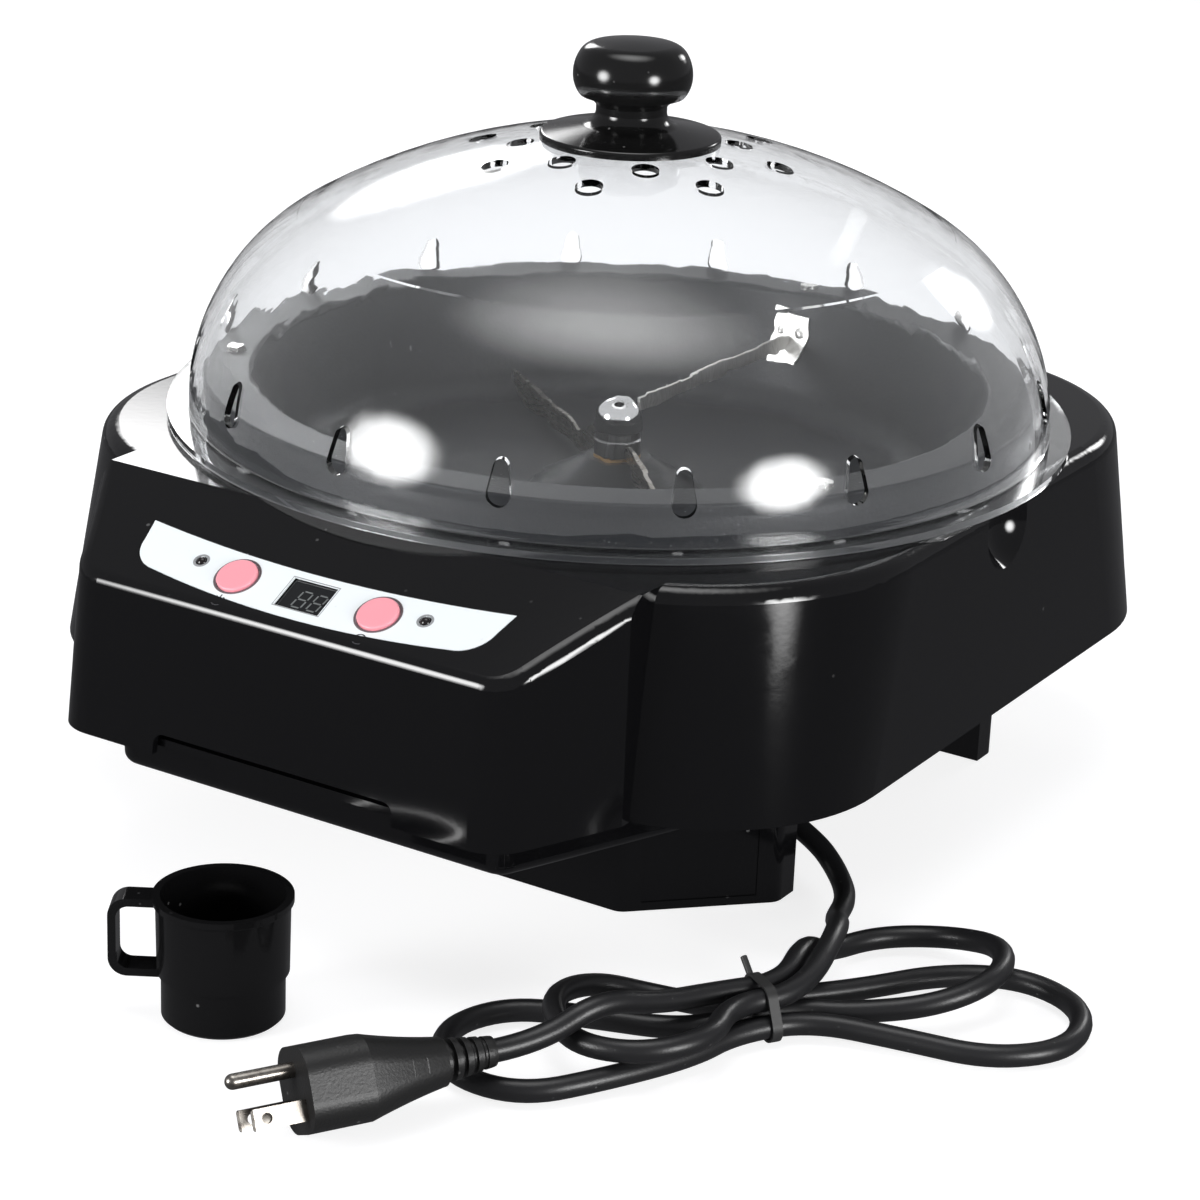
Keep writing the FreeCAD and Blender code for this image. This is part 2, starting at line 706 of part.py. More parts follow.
# Control board, its switches, display and lamps
board = panel_slab(134, 26, board_out - board_thick, board_out, label_up - 2)
for side in (-1, 1):
    board = board.cut(panel_post(side * 60, label_up - 2, board_out - 3, board_out + 1, 1.5))
feature("control_board", board)
screws = []
for side in (-1, 1):
    screws.append(panel_post(side * 60, label_up - 2, board_out - board_thick - 1.6,
                             board_out - board_thick, 2.4).fuse(
        panel_post(side * 60, label_up - 2, board_out - board_thick, board_out + 6, 1.1)))
feature("board_screws", Part.makeCompound(screws))
switch_high = 4.3
switches = []
for side in (-1, 1):
    case = Part.makeBox(6, 6, 3.4, V(-3, -3, 0)).fuse(Part.makeCylinder(1.7, switch_high))
    case.Placement = FreeCAD.Placement(panel_place(side * float(button_spread), button_up, board_out), PANEL)
    switches.append(case)
feature("tact_switches", Part.makeCompound(switches))
display_out = -1.0
feature("display_module", panel_slab(float(display_wide), float(display_tall), board_out, display_out,
                                     display_up))
lamps = []
for side in (-1, 1):
    lamp = Part.makeCylinder(float(lamp_radius), display_out - board_out).fuse(
        Part.makeSphere(float(lamp_radius), V(0, 0, display_out - board_out)))
    lamp.Placement = FreeCAD.Placement(
        panel_place(side * float(lamp_spread), button_up + 2.5, board_out), PANEL)
    lamps.append(lamp)
feature("indicator_lamps", Part.makeCompound(lamps))

# Push buttons: a cap in the panel's hole over a collar that keeps it in, and a stem
button_proud = 1.0
collar_radius = float(button_radius) + 1.6
collar_top = -wall - 0.3
collar_low = collar_top - 1.6
stem_low = board_out + switch_high + 0.9
for side, label_name in ((-1, "on_off_button"), (1, "timer_button")):
    cap = Part.makeCylinder(float(button_radius), button_proud - collar_top)
    crown = [e for e in cap.Edges if e.BoundBox.ZMin > button_proud - collar_top - 1e-3]
    cap = cap.makeFillet(0.6, crown)
    cap.translate(V(0, 0, collar_top))
    cap = cap.fuse(Part.makeCylinder(collar_radius, collar_top - collar_low, V(0, 0, collar_low)))
    cap = cap.fuse(Part.makeCylinder(2.2, collar_low - stem_low, V(0, 0, stem_low)))
    cap.Placement = FreeCAD.Placement(panel_place(side * float(button_spread), button_up, 0), PANEL)
    feature(label_name, cap)

# Pan: drawn bowl with a centre cone, a raised rim flange and a skirt down to the housing
bush_hole = as_size(6.6)
floor_low = pan_floor - pan_dish
flange_turn = as_size(3)
pan = turned("roasting_pan", [
    (bush_hole, cone_high),
    (bush_hole, cone_high - pan_sheet),
    (cone_top - 0.6, cone_high - pan_sheet),
    (cone_foot - 2, floor_low - pan_sheet),
    (pan_floor_edge, pan_floor - pan_sheet),
    (pan_wall_foot + pan_sheet, pan_floor + 8, as_size(16), 1),
    (pan_mouth + pan_sheet, pan_top - pan_sheet),
    (pan_rim - pan_sheet, pan_top - pan_sheet),
    (pan_rim - pan_sheet, shell_top),
    (pan_rim, shell_top),
    (pan_rim, pan_top - 1),
    (pan_rim - 1, pan_top, as_size(1), 1),
    (pan_mouth + 2, pan_top),
    (pan_mouth, pan_top - 2, as_size(2), 1),
    (pan_wall_foot, pan_floor + 8 + pan_sheet),
    (pan_floor_edge, pan_floor, as_size(14), -1),
    (cone_foot, floor_low),
    (cone_top, cone_high),
])
doc.recompute()
pan_screw_pocket = pocket(pan, "Pan_screw_hole",
                          circle(pan, "Pan_screw_circle", as_size(0), rim_screw_ring, as_size(2.2)), True)
around(pan, "Pan_screw_holes", [pan_screw_pocket], as_size(3))


def screw_set(label_name, places, head_radius, head_high, shank_radius, shank_long, up=1):
    """Like screws that share a node: heads at the given places, shanks into what they hold."""
    solids = []
    for place in places:
        head = Part.makeCylinder(head_radius, head_high, place, V(0, 0, up))
        shank = Part.makeCylinder(shank_radius, shank_long, place, V(0, 0, -up))
        solids.append(head.fuse(shank))
    return feature(label_name, Part.makeCompound(solids))


screw_set("pan_screws", [at_angle(rim_screw_ring, a, pan_top) for a in pan_angles], 3.4, 1.8, 1.7, 11)

# Bush in the pan's cone and the shaft that turns in it
bush_flange = as_size(1.2)
bush_bore = shaft_radius + shaft_gap
turned("shaft_bush", [
    (bush_bore, cone_high + bush_flange),
    (bush_bore, cone_high - 14),
    (bush_hole - 0.1, cone_high - 14),
    (bush_hole - 0.1, cone_high),
    (bush_hole + 2, cone_high),
    (bush_hole + 2, cone_high + bush_flange),
])
hub_low = cone_high + bush_flange + clearance
hub_top = hub_low + hub_high
washer_top = hub_top + washer_thick
nut_top = washer_top + nut_high
fit = as_size(0.05)
shaft_low = as_size(66)
shaft_end = washer_top + 7
node(cylinder("Drive_shaft", shaft_radius, shaft_end - shaft_low, 0, 0, shaft_low), "drive_shaft")
turned("agitator_hub", [
    (shaft_radius + fit, hub_top),
    (shaft_radius + fit, hub_low),
    (hub_radius, hub_low),
    (hub_radius, hub_top - 1),
    (hub_radius - 1, hub_top),
])
turned("hub_washer", [
    (shaft_radius + fit, washer_top),
    (shaft_radius + fit, hub_top),
    (washer_radius, hub_top),
    (washer_radius, washer_top - 0.6),
    (washer_radius - 0.6, washer_top),
])
turned("dome_nut", [
    (shaft_radius + fit, washer_top + 7.4),
    (shaft_radius + fit, washer_top),
    (nut_radius, washer_top),
    (nut_radius, washer_top + nut_high - nut_radius),
    (as_size(0), nut_top, nut_radius, 1),
    (as_size(0), washer_top + 7.4),
])

# Agitator arms: two strips on edge that follow the pan's cone, floor and wall
lift = float(arm_lift)
deep = float(arm_deep)
inner_r = float(hub_radius) - 0.4
arm_low = [V(inner_r, 0, float(hub_low)), V(float(cone_top) + 3, 0, float(cone_high) + lift - 1),
           V(float(cone_foot) + 3, 0, float(floor_low) + lift + 1.5),
           V(float(pan_floor_edge) - 8, 0, float(pan_floor) + lift),
           V(float(arm_reach), 0, float(pan_floor) + lift + 3.5)]
arm_high = [V(float(arm_reach), 0, float(pan_floor) + lift + 3.5 + deep * 0.7),
            V(float(pan_floor_edge) - 10, 0, float(pan_floor) + lift + deep),
            V(float(cone_foot) + 5, 0, float(floor_low) + lift + deep + 1),
            V(float(cone_top) + 5, 0, float(hub_top) - 1.2), V(inner_r, 0, float(hub_top) - 1.2)]
arm_wire = Part.makePolygon(arm_low + arm_high + [arm_low[0]])
arms = []
for turn in (0, 180):
    strip = Part.Face(arm_wire).extrude(V(0, float(arm_thick), 0))
    strip.translate(V(0, -float(arm_thick) / 2, 0))
    strip.rotate(V(0, 0, 0), UP, float(arm_angle) + turn)
    arms.append(strip.cut(Part.makeCylinder(float(hub_radius), 20, V(0, 0, float(hub_low) - 5))))
feature("agitator_arms", Part.makeCompound(arms))

# Bean baffle: a bent strip riveted to the pan's back wall that reaches to the nut
baffle_angle = 90
plate_wide = 14
strip_thick = 1.2
wall_slope = (float(pan_mouth) - float(pan_wall_foot)) / (float(pan_top) - 2 - float(pan_floor) - 9.5)


def pan_wall_radius(height):
    return float(pan_wall_foot) + wall_slope * (height - float(pan_floor) - 9.5)


plate_low = float(baffle_high) - 6
plate_high = float(baffle_high) + 11
outer_at_low = pan_wall_radius(plate_low) - 0.25
outer_at_high = pan_wall_radius(plate_high) - 0.25
plate = Part.Face(Part.makePolygon([
    V(-plate_wide / 2, outer_at_low, plate_low), V(plate_wide / 2, outer_at_low, plate_low),
    V(plate_wide / 2, outer_at_high, plate_high), V(-plate_wide / 2, outer_at_high, plate_high),
    V(-plate_wide / 2, outer_at_low, plate_low)])).extrude(V(0, -strip_thick, 0))
strip_end = pan_wall_radius(float(baffle_high)) - 1
strip = Part.makeBox(strip_thick, strip_end - float(baffle_inner), float(baffle_deep),
                     V(-strip_thick / 2, float(baffle_inner), float(baffle_high)))
baffle = plate.fuse(strip)
rivet_places = [V(x, outer_at_high - strip_thick - 0.5, plate_high - 5.5) for x in (-3.6, 3.6)]
feature("bean_baffle", baffle)
rivets = []
for place in rivet_places:
    rivets.append(Part.makeSphere(2.1, place).common(
        Part.makeBox(6, 3, 6, place.add(V(-3, -3, -3)))))
feature("baffle_rivets", Part.makeCompound(rivets))

# Ring heater under the pan, with two pins that go down through the shield
heater_ring = size("heater_ring", 78, "radius of the ring heater")
heater_rod = size("heater_rod", 4, "radius of the ring heater's rod")
shield_wall = size("shield_wall", 130.5, "radius of the heat shield's wall")
shield_floor = size("shield_floor", 82, "height of the heat shield's floor")
doc.recompute()
pan_under = pan_floor - pan_dish * 0.45 - pan_sheet
heater_high = pan_under - heater_rod - clearance
heater_open = 16
ring = doc.addObject("Part::Torus", "Heater_ring")
bind(ring, "Radius1", heater_ring)
bind(ring, "Radius2", heater_rod)
ring.Angle3 = 360 - heater_open
ring.Placement = FreeCAD.Placement(V(0, 0, 0), FreeCAD.Rotation(UP, heater_open / 2))
bind(ring, ".Placement.Base.z", heater_high)
pins = []
pin_low = shield_floor - 9
for index, angle in enumerate((heater_open / 2, -heater_open / 2)):
    pin_place = at_angle(heater_ring, angle)
    pins.append(cylinder("Heater_pin_%d" % index, heater_rod + 0.6, heater_high + 2 - pin_low,
                         heater_ring * math.cos(math.radians(angle)),
                         heater_ring * math.sin(math.radians(angle)), pin_low))
node(fused("Heating_element", [ring] + pins), "heating_element")

# Heat shield: a spun dish that hangs from the housing's bosses, with holes for pins and shaft
shield_shaft_hole = as_size(11)
shield = turned("heat_shield", [
    (shield_shaft_hole, shield_floor),
    (shield_shaft_hole, shield_floor - shield_sheet),
    (shield_wall, shield_floor - shield_sheet),
    (shield_wall, as_size(shield_flange) - shield_sheet),
    (rim_screw_ring + 5, as_size(shield_flange) - shield_sheet),
    (rim_screw_ring + 5, as_size(shield_flange)),
    (shield_wall - shield_sheet, as_size(shield_flange)),
    (shield_wall - shield_sheet, shield_floor),
])
doc.recompute()
pin_pockets = []
for index, angle in enumerate((heater_open / 2, -heater_open / 2)):
    hole = circle(shield, "Pin_circle_%d" % index, heater_ring * math.cos(math.radians(angle)),
                  heater_ring * math.sin(math.radians(angle)), heater_rod + 1.2)
    pocket(shield, "Pin_hole_%d" % index, hole, True)
screw_circle = circle(shield, "Shield_screw_circle", rim_screw_ring * math.cos(math.radians(30)),
                      rim_screw_ring * math.sin(math.radians(30)), as_size(2))
around(shield, "Shield_screw_holes", [pocket(shield, "Shield_screw_hole", screw_circle, True)], as_size(3))
bracket_spread_x = 38
bracket_spread_y = 16
bracket_corners = [(bracket_spread_x * i, bracket_spread_y * j) for i in (-1, 1) for j in (-1, 1)]
for index, (x, y) in enumerate(bracket_corners):
    pocket(shield, "Bracket_hole_%d" % index,
           circle(shield, "Bracket_circle_%d" % index, as_size(x), as_size(y), as_size(2.2)), True)
screw_set("shield_screws", [at_angle(rim_screw_ring, a, shield_flange - shield_sheet) for a in shield_angles],
          3.2, -1.6 + 3.2, 1.6, 6, -1)

# Clips that hold the heater's ring to the shield
clip_wide = 10
clips = []
clip_top = float(heater_high) + float(heater_rod) + 0.2
for angle in (60, 180, 300):
    leg = Part.makeBox(3.4, clip_wide, float(heater_high) - float(shield_floor) + 1,
                       V(float(heater_ring) + float(heater_rod) + 0.3, -clip_wide / 2, float(shield_floor)))
    shelf = Part.makeBox(2 * float(heater_rod) + 3.7, clip_wide, 1.2,
                         V(float(heater_ring) - float(heater_rod), -clip_wide / 2,
                           float(heater_high) - float(heater_rod) - 1.4))
    clip = leg.fuse(shelf)
    clip.rotate(V(0, 0, 0), UP, angle)
    clips.append(clip)
feature("heater_clips", Part.makeCompound(clips))

# Thermostat and thermal fuse on the shield's floor
stat = cylinder("Thermostat_case", 8, 7, 0, 46, shield_floor)
stat_cap = cylinder("Thermostat_cap", 6, pan_under - shield_floor - 8.6, 0, 46, shield_floor + 7)
node(fused("Thermostat", [stat, stat_cap]), "thermostat")
node(cylinder("Thermal_fuse", 2, 14, -7, -46, shield_floor + 2, V(1, 0, 0)), "thermal_fuse")

# Geared motor under the shield: bracket, gearbox and motor can
bracket_thick = as_size(2)
shield_under = shield_floor - shield_sheet
bracket_plate = block("Bracket_plate", 90, 46, bracket_thick, 0, 0, shield_under - bracket_thick)
bracket_holes = [cylinder("Bracket_bore", shield_shaft_hole, 10, 0, 0, shield_under - 6)]
for index, (x, y) in enumerate(bracket_corners):
    bracket_holes.append(cylinder("Bracket_drill_%d" % index, 2.2, 10, x, y, shield_under - 6))
node(cut_from("Motor_bracket", bracket_plate, fused("Bracket_cuts", bracket_holes)), "motor_bracket")
gearbox_top = shield_under - bracket_thick
gearbox_high = as_size(20)
gearbox_low = gearbox_top - gearbox_high
gearbox_block = block("Gearbox_block", 64, 42, gearbox_high, 0, 0, gearbox_low)
gearbox_bore = cylinder("Gearbox_bore", shaft_radius + shaft_gap, gearbox_top - shaft_low + 1.5, 0, 0,
                        shaft_low - 0.5)
node(cut_from("Gearbox", gearbox_block, gearbox_bore), "gearbox")
motor_high = as_size(22)
node(cylinder("Motor_can", 21, motor_high, 8, 0, gearbox_low - motor_high), "motor_can")
bracket_screw_places = [V(x, y, float(shield_floor)) for x, y in bracket_corners]
screw_set("bracket_screws", bracket_screw_places, 3.6, 1.8, 1.9, float(shield_floor - gearbox_top))

# Base: one moulding with a lid-like plate, four corner legs, a waist and the front tray
leg = float(leg_half)
cut_corner = float(leg_chamfer)
run = float(leg_run)
waist = float(waist_half)


def base_outline(inset, height):
    """Plan of the pedestal: corner legs joined by a drawn-in waist on the sides and back."""
    reach = leg - inset
    corner = leg - cut_corner + inset * (math.sqrt(2) - 1) * -1
    inner = corner - (run - cut_corner) + 2 * inset * 0
    step = leg - run + inset
    low = waist - inset
    points = [V(-corner, -reach, 0), V(corner, -reach, 0), V(reach, -corner, 0), V(reach, -step, 0),
              V(low, -step, 0), V(low, step, 0), V(reach, step, 0), V(reach, corner, 0),
              V(corner, reach, 0), V(step, reach, 0), V(step, low, 0), V(-step, low, 0),
              V(-step, reach, 0), V(-corner, reach, 0), V(-reach, corner, 0), V(-reach, step, 0),
              V(-low, step, 0), V(-low, -step, 0), V(-reach, -step, 0), V(-reach, -corner, 0)]
    for point in points:
        point.z = height
    return Part.makePolygon(points + [points[0]])


def slab(wire, thick):
    return Part.Face(wire).extrude(V(0, 0, thick))


plate_low_z = float(base_plate_top) - base_plate
base_wall = float(pedestal_wall)
step_z = float(plate_step)
floor_thick = 2.5
pedestal = slab(base_outline(0, 0), plate_low_z)
uprights = [e for e in pedestal.Edges if e.BoundBox.ZLength > 10
            and abs(abs(e.Vertexes[0].Point.x) + abs(e.Vertexes[0].Point.y) - 2 * leg + cut_corner) < 1e-3]
pedestal = pedestal.makeFillet(6, uprights)
pedestal = pedestal.cut(slab(base_outline(base_wall, step_z + floor_thick), plate_low_z))
pedestal = pedestal.cut(slab(base_outline(base_wall, -1), step_z + 1))


def tray_outline(inset, height):
    """Plan of the tray under the control box, with the box's flare."""
    front = -(float(tray_front) - inset)
    half = float(tray_half) - inset
    flare = (float(box_root_half) - float(box_half)) / (float(box_front) - float(box_root))
    back = -leg + 1
    root_half = half + flare * (back - front)
    return Part.makePolygon([V(-root_half, back, height), V(-half, front, height), V(half, front, height),
                             V(root_half, back, height), V(-root_half, back, height)])


tray_floor = float(tray_low)
tray = slab(tray_outline(0, tray_floor), plate_low_z - tray_floor)
tray_corners = [e for e in tray.Edges if e.BoundBox.ZLength > 10 and e.Vertexes[0].Point.y < -leg - 20]
tray = tray.makeFillet(8, tray_corners)
tray_rim = [e for e in tray.Edges if e.BoundBox.ZMax < tray_floor + 1e-3 and e.BoundBox.YMin < -leg - 3]
tray = tray.makeFillet(4, tray_rim)
tray = tray.cut(slab(tray_outline(base_wall, tray_floor + base_wall), plate_low_z))
plate_gap = wall + float(clearance)
half_low, corner_low = wall_at(plate_low_z)
plate_form = housing_form(plate_gap + 0.2, plate_low_z, float(base_plate_top)).fuse(
    Part.makeLoft([box_outline(plate_gap + 0.4, plate_low_z),
                   box_outline(plate_gap + 0.4, float(base_plate_top))], True, True))
hatch = slab(base_outline(base_wall, plate_low_z - 2), 10)
tray_hatch = slab(tray_outline(base_wall, plate_low_z - 2), 10).cut(
    Part.makeBox(500, 40, 500, V(-250, -leg - 6, 0)))
base = plate_form.cut(hatch).cut(tray_hatch).fuse(pedestal).fuse(tray)
for angle in base_angles:
    base = base.cut(Part.makeCylinder(2.2, 10, at_angle(base_boss_ring, angle, plate_low_z - 3)))

# Rating-plate place: a bare recess on each leg's outer face is only on the front right leg
recess_wide = 40
recess_tall = 25
recess_face = (2 * leg - cut_corner) / math.sqrt(2)
recess = Part.makeBox(1.6, recess_wide, recess_tall, V(recess_face - 0.5, -recess_wide / 2, 3))
recess.rotate(V(0, 0, 0), UP, -45)
base = base.cut(recess)

# Hole for the cord bushing in the right waist wall
cord_y = -50
cord_z = 24
gland_hole = 6.2
base = base.cut(Part.makeCylinder(gland_hole, 12, V(waist - 8, cord_y, cord_z), V(1, 0, 0)))
board_post_places = [V(x, y, step_z + floor_thick) for x in (-45, 45) for y in (20, 70)]
post_high = 6
for place in board_post_places:
    base = base.fuse(Part.makeCylinder(4, post_high, place)).cut(Part.makeCylinder(1.4, post_high + 1, place))
feature("base_moulding", base)
screw_set("base_screws", [at_angle(base_boss_ring, a, plate_low_z) for a in base_angles], 3.8, 2.0, 1.7,
          12, -1)

# Power board on its posts, with a relay, a capacitor and a transformer
power_low = step_z + floor_thick + post_high
power_board = Part.makeBox(104, 66, 1.6, V(-52, 12, power_low))
for place in board_post_places:
    power_board = power_board.cut(Part.makeCylinder(1.7, 10, V(place.x, place.y, power_low - 3)))
feature("power_board", power_board)
screw_set("board_mount_screws", [V(p.x, p.y, power_low + 1.6) for p in board_post_places], 2.6, 1.4, 1.3,
          6, 1)
parts_z = power_low + 1.6
node(block("Relay", 19, 15, 15, -24, 34, parts_z), "relay")
node(block("Transformer", 28, 24, 22, 16, 36, parts_z), "transformer")
node(cylinder("Capacitor", 5, 14, -22, 62, parts_z), "capacitor")
node(block("Terminal_block", 30, 18, 16, 55, -40, step_z + floor_thick), "terminal_block")

# Measuring cup: a moulded cup with a narrower foot and a loop handle
cup_x = size("cup_x", 19.5, "place of the measuring cup across the front")
cup_y = size("cup_y", -255, "place of the measuring cup in front of the shaft")
cup_rim = size("cup_rim", 22, "radius of the cup's rim")
cup_body = size("cup_body", 21, "radius of the cup's body")
cup_foot = size("cup_foot", 19.4, "radius of the cup's foot")
cup_high = size("cup_high", 41, "height of the cup")
cup_step = size("cup_step", 14.5, "height of the step round the cup's foot")
cup_wall = size("cup_wall", 1.5, "cup wall")
doc.recompute()


def half_section(corners):
    """A solid of revolution about the vertical axis from (radius, height) pairs."""
    points = [V(float(r), 0, float(z)) for r, z in corners]
    return Part.Face(Part.makePolygon(points + [points[0]])).revolve(V(0, 0, 0), UP, 360)


cup_outer = half_section([(0, 0), (cup_foot - 1, 0), (cup_foot, 1), (cup_foot, cup_step),
                          (cup_body - 0.3, cup_step + 1), (cup_body, cup_high - 3), (cup_rim, cup_high - 2),
                          (cup_rim, cup_high), (0, cup_high)])
cup_inner = half_section([(0, cup_wall), (cup_foot - cup_wall, cup_wall), (cup_foot - cup_wall, cup_step + 1),
                          (cup_body - cup_wall, cup_step + 2.2), (cup_body - cup_wall, cup_high + 1),
                          (0, cup_high + 1)])
handle_reach = float(cup_rim) + 13.4
handle_wide = 9
handle_top = float(cup_high) - 1.2
handle_low = 13.5
handle_thick = 2.6
handle_form = Part.makeBox(handle_reach - 12, handle_wide, handle_top - handle_low,
                           V(12, -handle_wide / 2, handle_low))
handle_form = handle_form.makeFillet(6, [e for e in handle_form.Edges if e.BoundBox.YLength > 5
                                         and e.BoundBox.XMin > 20])
handle_gap = Part.makeBox(handle_reach - handle_thick - 6, handle_wide + 2,
                          handle_top - handle_low - 2 * handle_thick,
                          V(6, -handle_wide / 2 - 1, handle_low + handle_thick))
handle_gap = handle_gap.makeFillet(4, [e for e in handle_gap.Edges if e.BoundBox.YLength > 5
                                       and e.BoundBox.XMin > 20])
cup = cup_outer.fuse(handle_form.cut(handle_gap)).cut(cup_inner)
cup.rotate(V(0, 0, 0), UP, 211)
cup.translate(V(float(cup_x), float(cup_y), 0))
feature("measuring_cup", cup)

# Mains lead: out of a bushing in the waist, tied in a loose hank of two loops each way, to a plug
lead = float(lead_radius)
tail_start = V(waist + 3, cord_y, cord_z)
tail_heading = V(0.9426, -0.2218, -0.2495)
tail_long = 22
lead_start = tail_start.add(V(tail_heading).multiply(tail_long))
collar = Part.makeCylinder(8, 3, V(waist + 0.05, cord_y, cord_z), V(1, 0, 0))
neck = Part.makeCylinder(gland_hole - 0.1, 8, V(waist - 6, cord_y, cord_z), V(1, 0, 0))
tail = Part.makeCone(6.6, lead + 0.9, tail_long, tail_start, tail_heading)
tail_root = Part.makeSphere(6.6, tail_start)
bushing = collar.fuse(neck).fuse(tail).fuse(tail_root)
for step in range(4):
    groove_at = tail_start.add(V(tail_heading).multiply(4 + 4 * step))
    groove = Part.makeCylinder(9, 1.2, groove_at, tail_heading)
    bushing = bushing.cut(groove.cut(Part.makeCylinder(lead + 0.9, 1.2, groove_at, tail_heading)))
feature("cord_bushing", bushing)

# Corners of the lead's centre line: the free stretch down to the tie, then the small front loop,
# the low rear loop, the large front loop, the high rear loop and the strand that ends at the plug
lead_route = [
    lead_start,
    V(121, -58, 15),
    V(132.5, -64, 10),
    V(144, -76, 6.5),
    V(150.5, -98, 8.5),
    V(164, -119, 20),
]
hank_route = [
    V(171.5, -156.5, 12.5),
    V(157, -178, 12.5),
    V(165.5, -202.75, 14.25),
    V(152.5, -223.75, 13.5),
    V(128.25, -226.5, 11.75),
    V(110.25, -209.5, 14.25),
    V(111.25, -185.75, 10.5),
    V(127.5, -172, 4.5),
    V(149.5, -168, 5),
    V(161.5, -149.5, 5),
    V(178, -129, 4.5),
    V(194, -104, 4.5),
    V(217, -89.5, 4),
    V(242.5, -98.5, 4),
    V(250, -125, 4),
    V(232.5, -146, 4),
    V(204.5, -151.5, 4.5),
    V(175, -158.5, 5),
    V(160.5, -180.5, 5),
    V(157, -198.5, 4),
    V(144.5, -228, 5),
    V(128, -251.5, 4),
    V(101, -252, 4),
    V(85, -230, 4),
    V(93.5, -205, 4),
    V(120.5, -196, 4.5),
    V(144, -187, 4),
    V(155, -174, 5),
    V(168, -154, 5),
    V(183, -147, 5),
    V(207, -134, 9.5),
    V(218, -112.5, 13.5),
    V(209, -89, 12.5),
    V(185.5, -80, 6),
    V(164, -92, 4.5),
    V(156, -114, 5),
    V(158, -132.5, 16),
    V(163, -154.5, 12.5),
    V(150, -173.25, 13),
    V(142.25, -197, 16.75),
    V(135.25, -219, 24.75),
    V(125.2, -236.3, 15),
    V(117, -250, 15),
]
route_share = 0.45


def route_edges(points):
    """Straight runs joined by tangent arcs, each as large as its two runs allow."""
    edges = []
    radii = []
    last = points[0]
    for before, corner, after in zip(points, points[1:], points[2:]):
        run_in = corner.sub(before)
        run_out = after.sub(corner)
        turn = run_in.getAngle(run_out)
        reach = route_share * min(run_in.Length, run_out.Length)
        radius = reach / math.tan(turn / 2)
        start = toward(corner, before, reach)
        end = toward(corner, after, reach)
        inward = toward(corner, before, 1).sub(corner).add(toward(corner, after, 1).sub(corner))
        inward.normalize()
        sag = radius / math.cos(turn / 2) - radius
        edges.append(Part.LineSegment(last, start).toShape())
        edges.append(Part.Arc(start, corner.add(inward.multiply(sag)), end).toShape())
        radii.append(radius)
        last = end
    edges.append(Part.LineSegment(last, points[-1]).toShape())
    return edges, radii


def tube(edges, radius):
    """A round tube along a chain of lines and arcs."""
    start = edges[0].valueAt(edges[0].FirstParameter)
    heading = edges[0].tangentAt(edges[0].FirstParameter)
    ring = Part.Wire(Part.makeCircle(radius, start, heading))
    pipe = Part.BRepOffsetAPI.MakePipeShell(Part.Wire(edges))
    pipe.add(ring)
    pipe.build()
    pipe.makeSolid()
    return pipe.shape()


def least_gap(edges, step, radius):
    """The least gap of a tube to itself, leaving out what is near along its length."""
    points = []
    for edge in edges:
        points += edge.discretize(max(2, int(edge.Length / step)) + 1)[:-1]
    travelled = [0]
    for one, two in zip(points, points[1:]):
        travelled.append(travelled[-1] + one.distanceToPoint(two))
    gaps = []
    for i, one in enumerate(points):
        for j in range(i + 1, len(points)):
            if travelled[j] - travelled[i] > 8 * radius:
                gaps.append(one.distanceToPoint(points[j]))
    return min(gaps) - 2 * radius


def report_tube(label, shape, edges):
    long = sum(edge.Length for edge in edges)
    print(label, "length", round(long), "volume over section times length",
          round(shape.Volume / (math.pi * lead ** 2 * long), 4))


all_edges, all_radii = route_edges(lead_route + hank_route)
split = 2 * len(lead_route) - 2
halves = all_edges[split].discretize(3)
lead_edges = all_edges[:split] + [Part.LineSegment(halves[0], halves[1]).toShape()]
hank_edges = [Part.LineSegment(halves[1], halves[2]).toShape()] + all_edges[split + 1:]
lead_tube = tube(lead_edges, lead)
hank_tube = tube(hank_edges, lead)
feature("power_cord", lead_tube)
feature("cord_hank", hank_tube)
print("cord radii", [round(r) for r in all_radii])
report_tube("power_cord", lead_tube, lead_edges)
report_tube("cord_hank", hank_tube, hank_edges)
print("least gap of the hank to itself", round(least_gap(hank_edges, 1.5, lead), 2))

# Twist tie round the five strands
tie_at = V(161, -165, 0)
tie_heading = V(0.5524, 0.8336, 0)
tie_across = V(0.8336, -0.5524, 0)
tie_wide = 3.4
tie_gap = 0.5
tie_thick = 0.8
strands = Part.makePolygon([V(-8, 5, 0), V(8, 5, 0), V(4, 12.5, 0), V(-4, 12.5, 0), V(-8, 5, 0)])
band_out = Part.Face(strands.makeOffset2D(lead + tie_gap + tie_thick)).extrude(V(0, 0, tie_wide))
band_in = Part.Face(strands.makeOffset2D(lead + tie_gap)).extrude(V(0, 0, tie_wide))
twist = Part.makeCylinder(1.1, 7, V(-7.4, 15.1, tie_wide / 2), V(-0.8, 0.6, 0))
band = band_out.cut(band_in).fuse(twist)
band.Placement = FreeCAD.Placement(
    tie_at.add(V(tie_heading).multiply(tie_wide / 2)),
    FreeCAD.Rotation(tie_across, UP, tie_heading.negative(), "ZXY"))
feature("cord_tie", band)

# Plug: ribbed relief, moulded body, two blades and a ground pin, lying rolled on its side
plug_start = hank_route[-1]
plug_heading = V(-0.5136, -0.858, 0)
plug_roll = 28
relief_long = 17
relief_profile = [(0, 0), (lead + 1.0, 0)]
for rib in range(4):
    along = 2.5 + rib * 3.6
    outer = lead + 1.2 + rib * 0.5
    relief_profile += [(outer, along - 1.4), (outer + 0.2, along + 0.6), (lead + 0.9, along + 0.6),
                       (lead + 0.9, along + 1.4)]
relief_profile += [(lead + 2.9, relief_long - 1.4), (lead + 3, relief_long), (0, relief_long)]
relief = half_section(relief_profile)
grip_long = 26
block_long = 20
plug_wide = 26
plug_deep = 26
grip_end = relief_long + grip_long


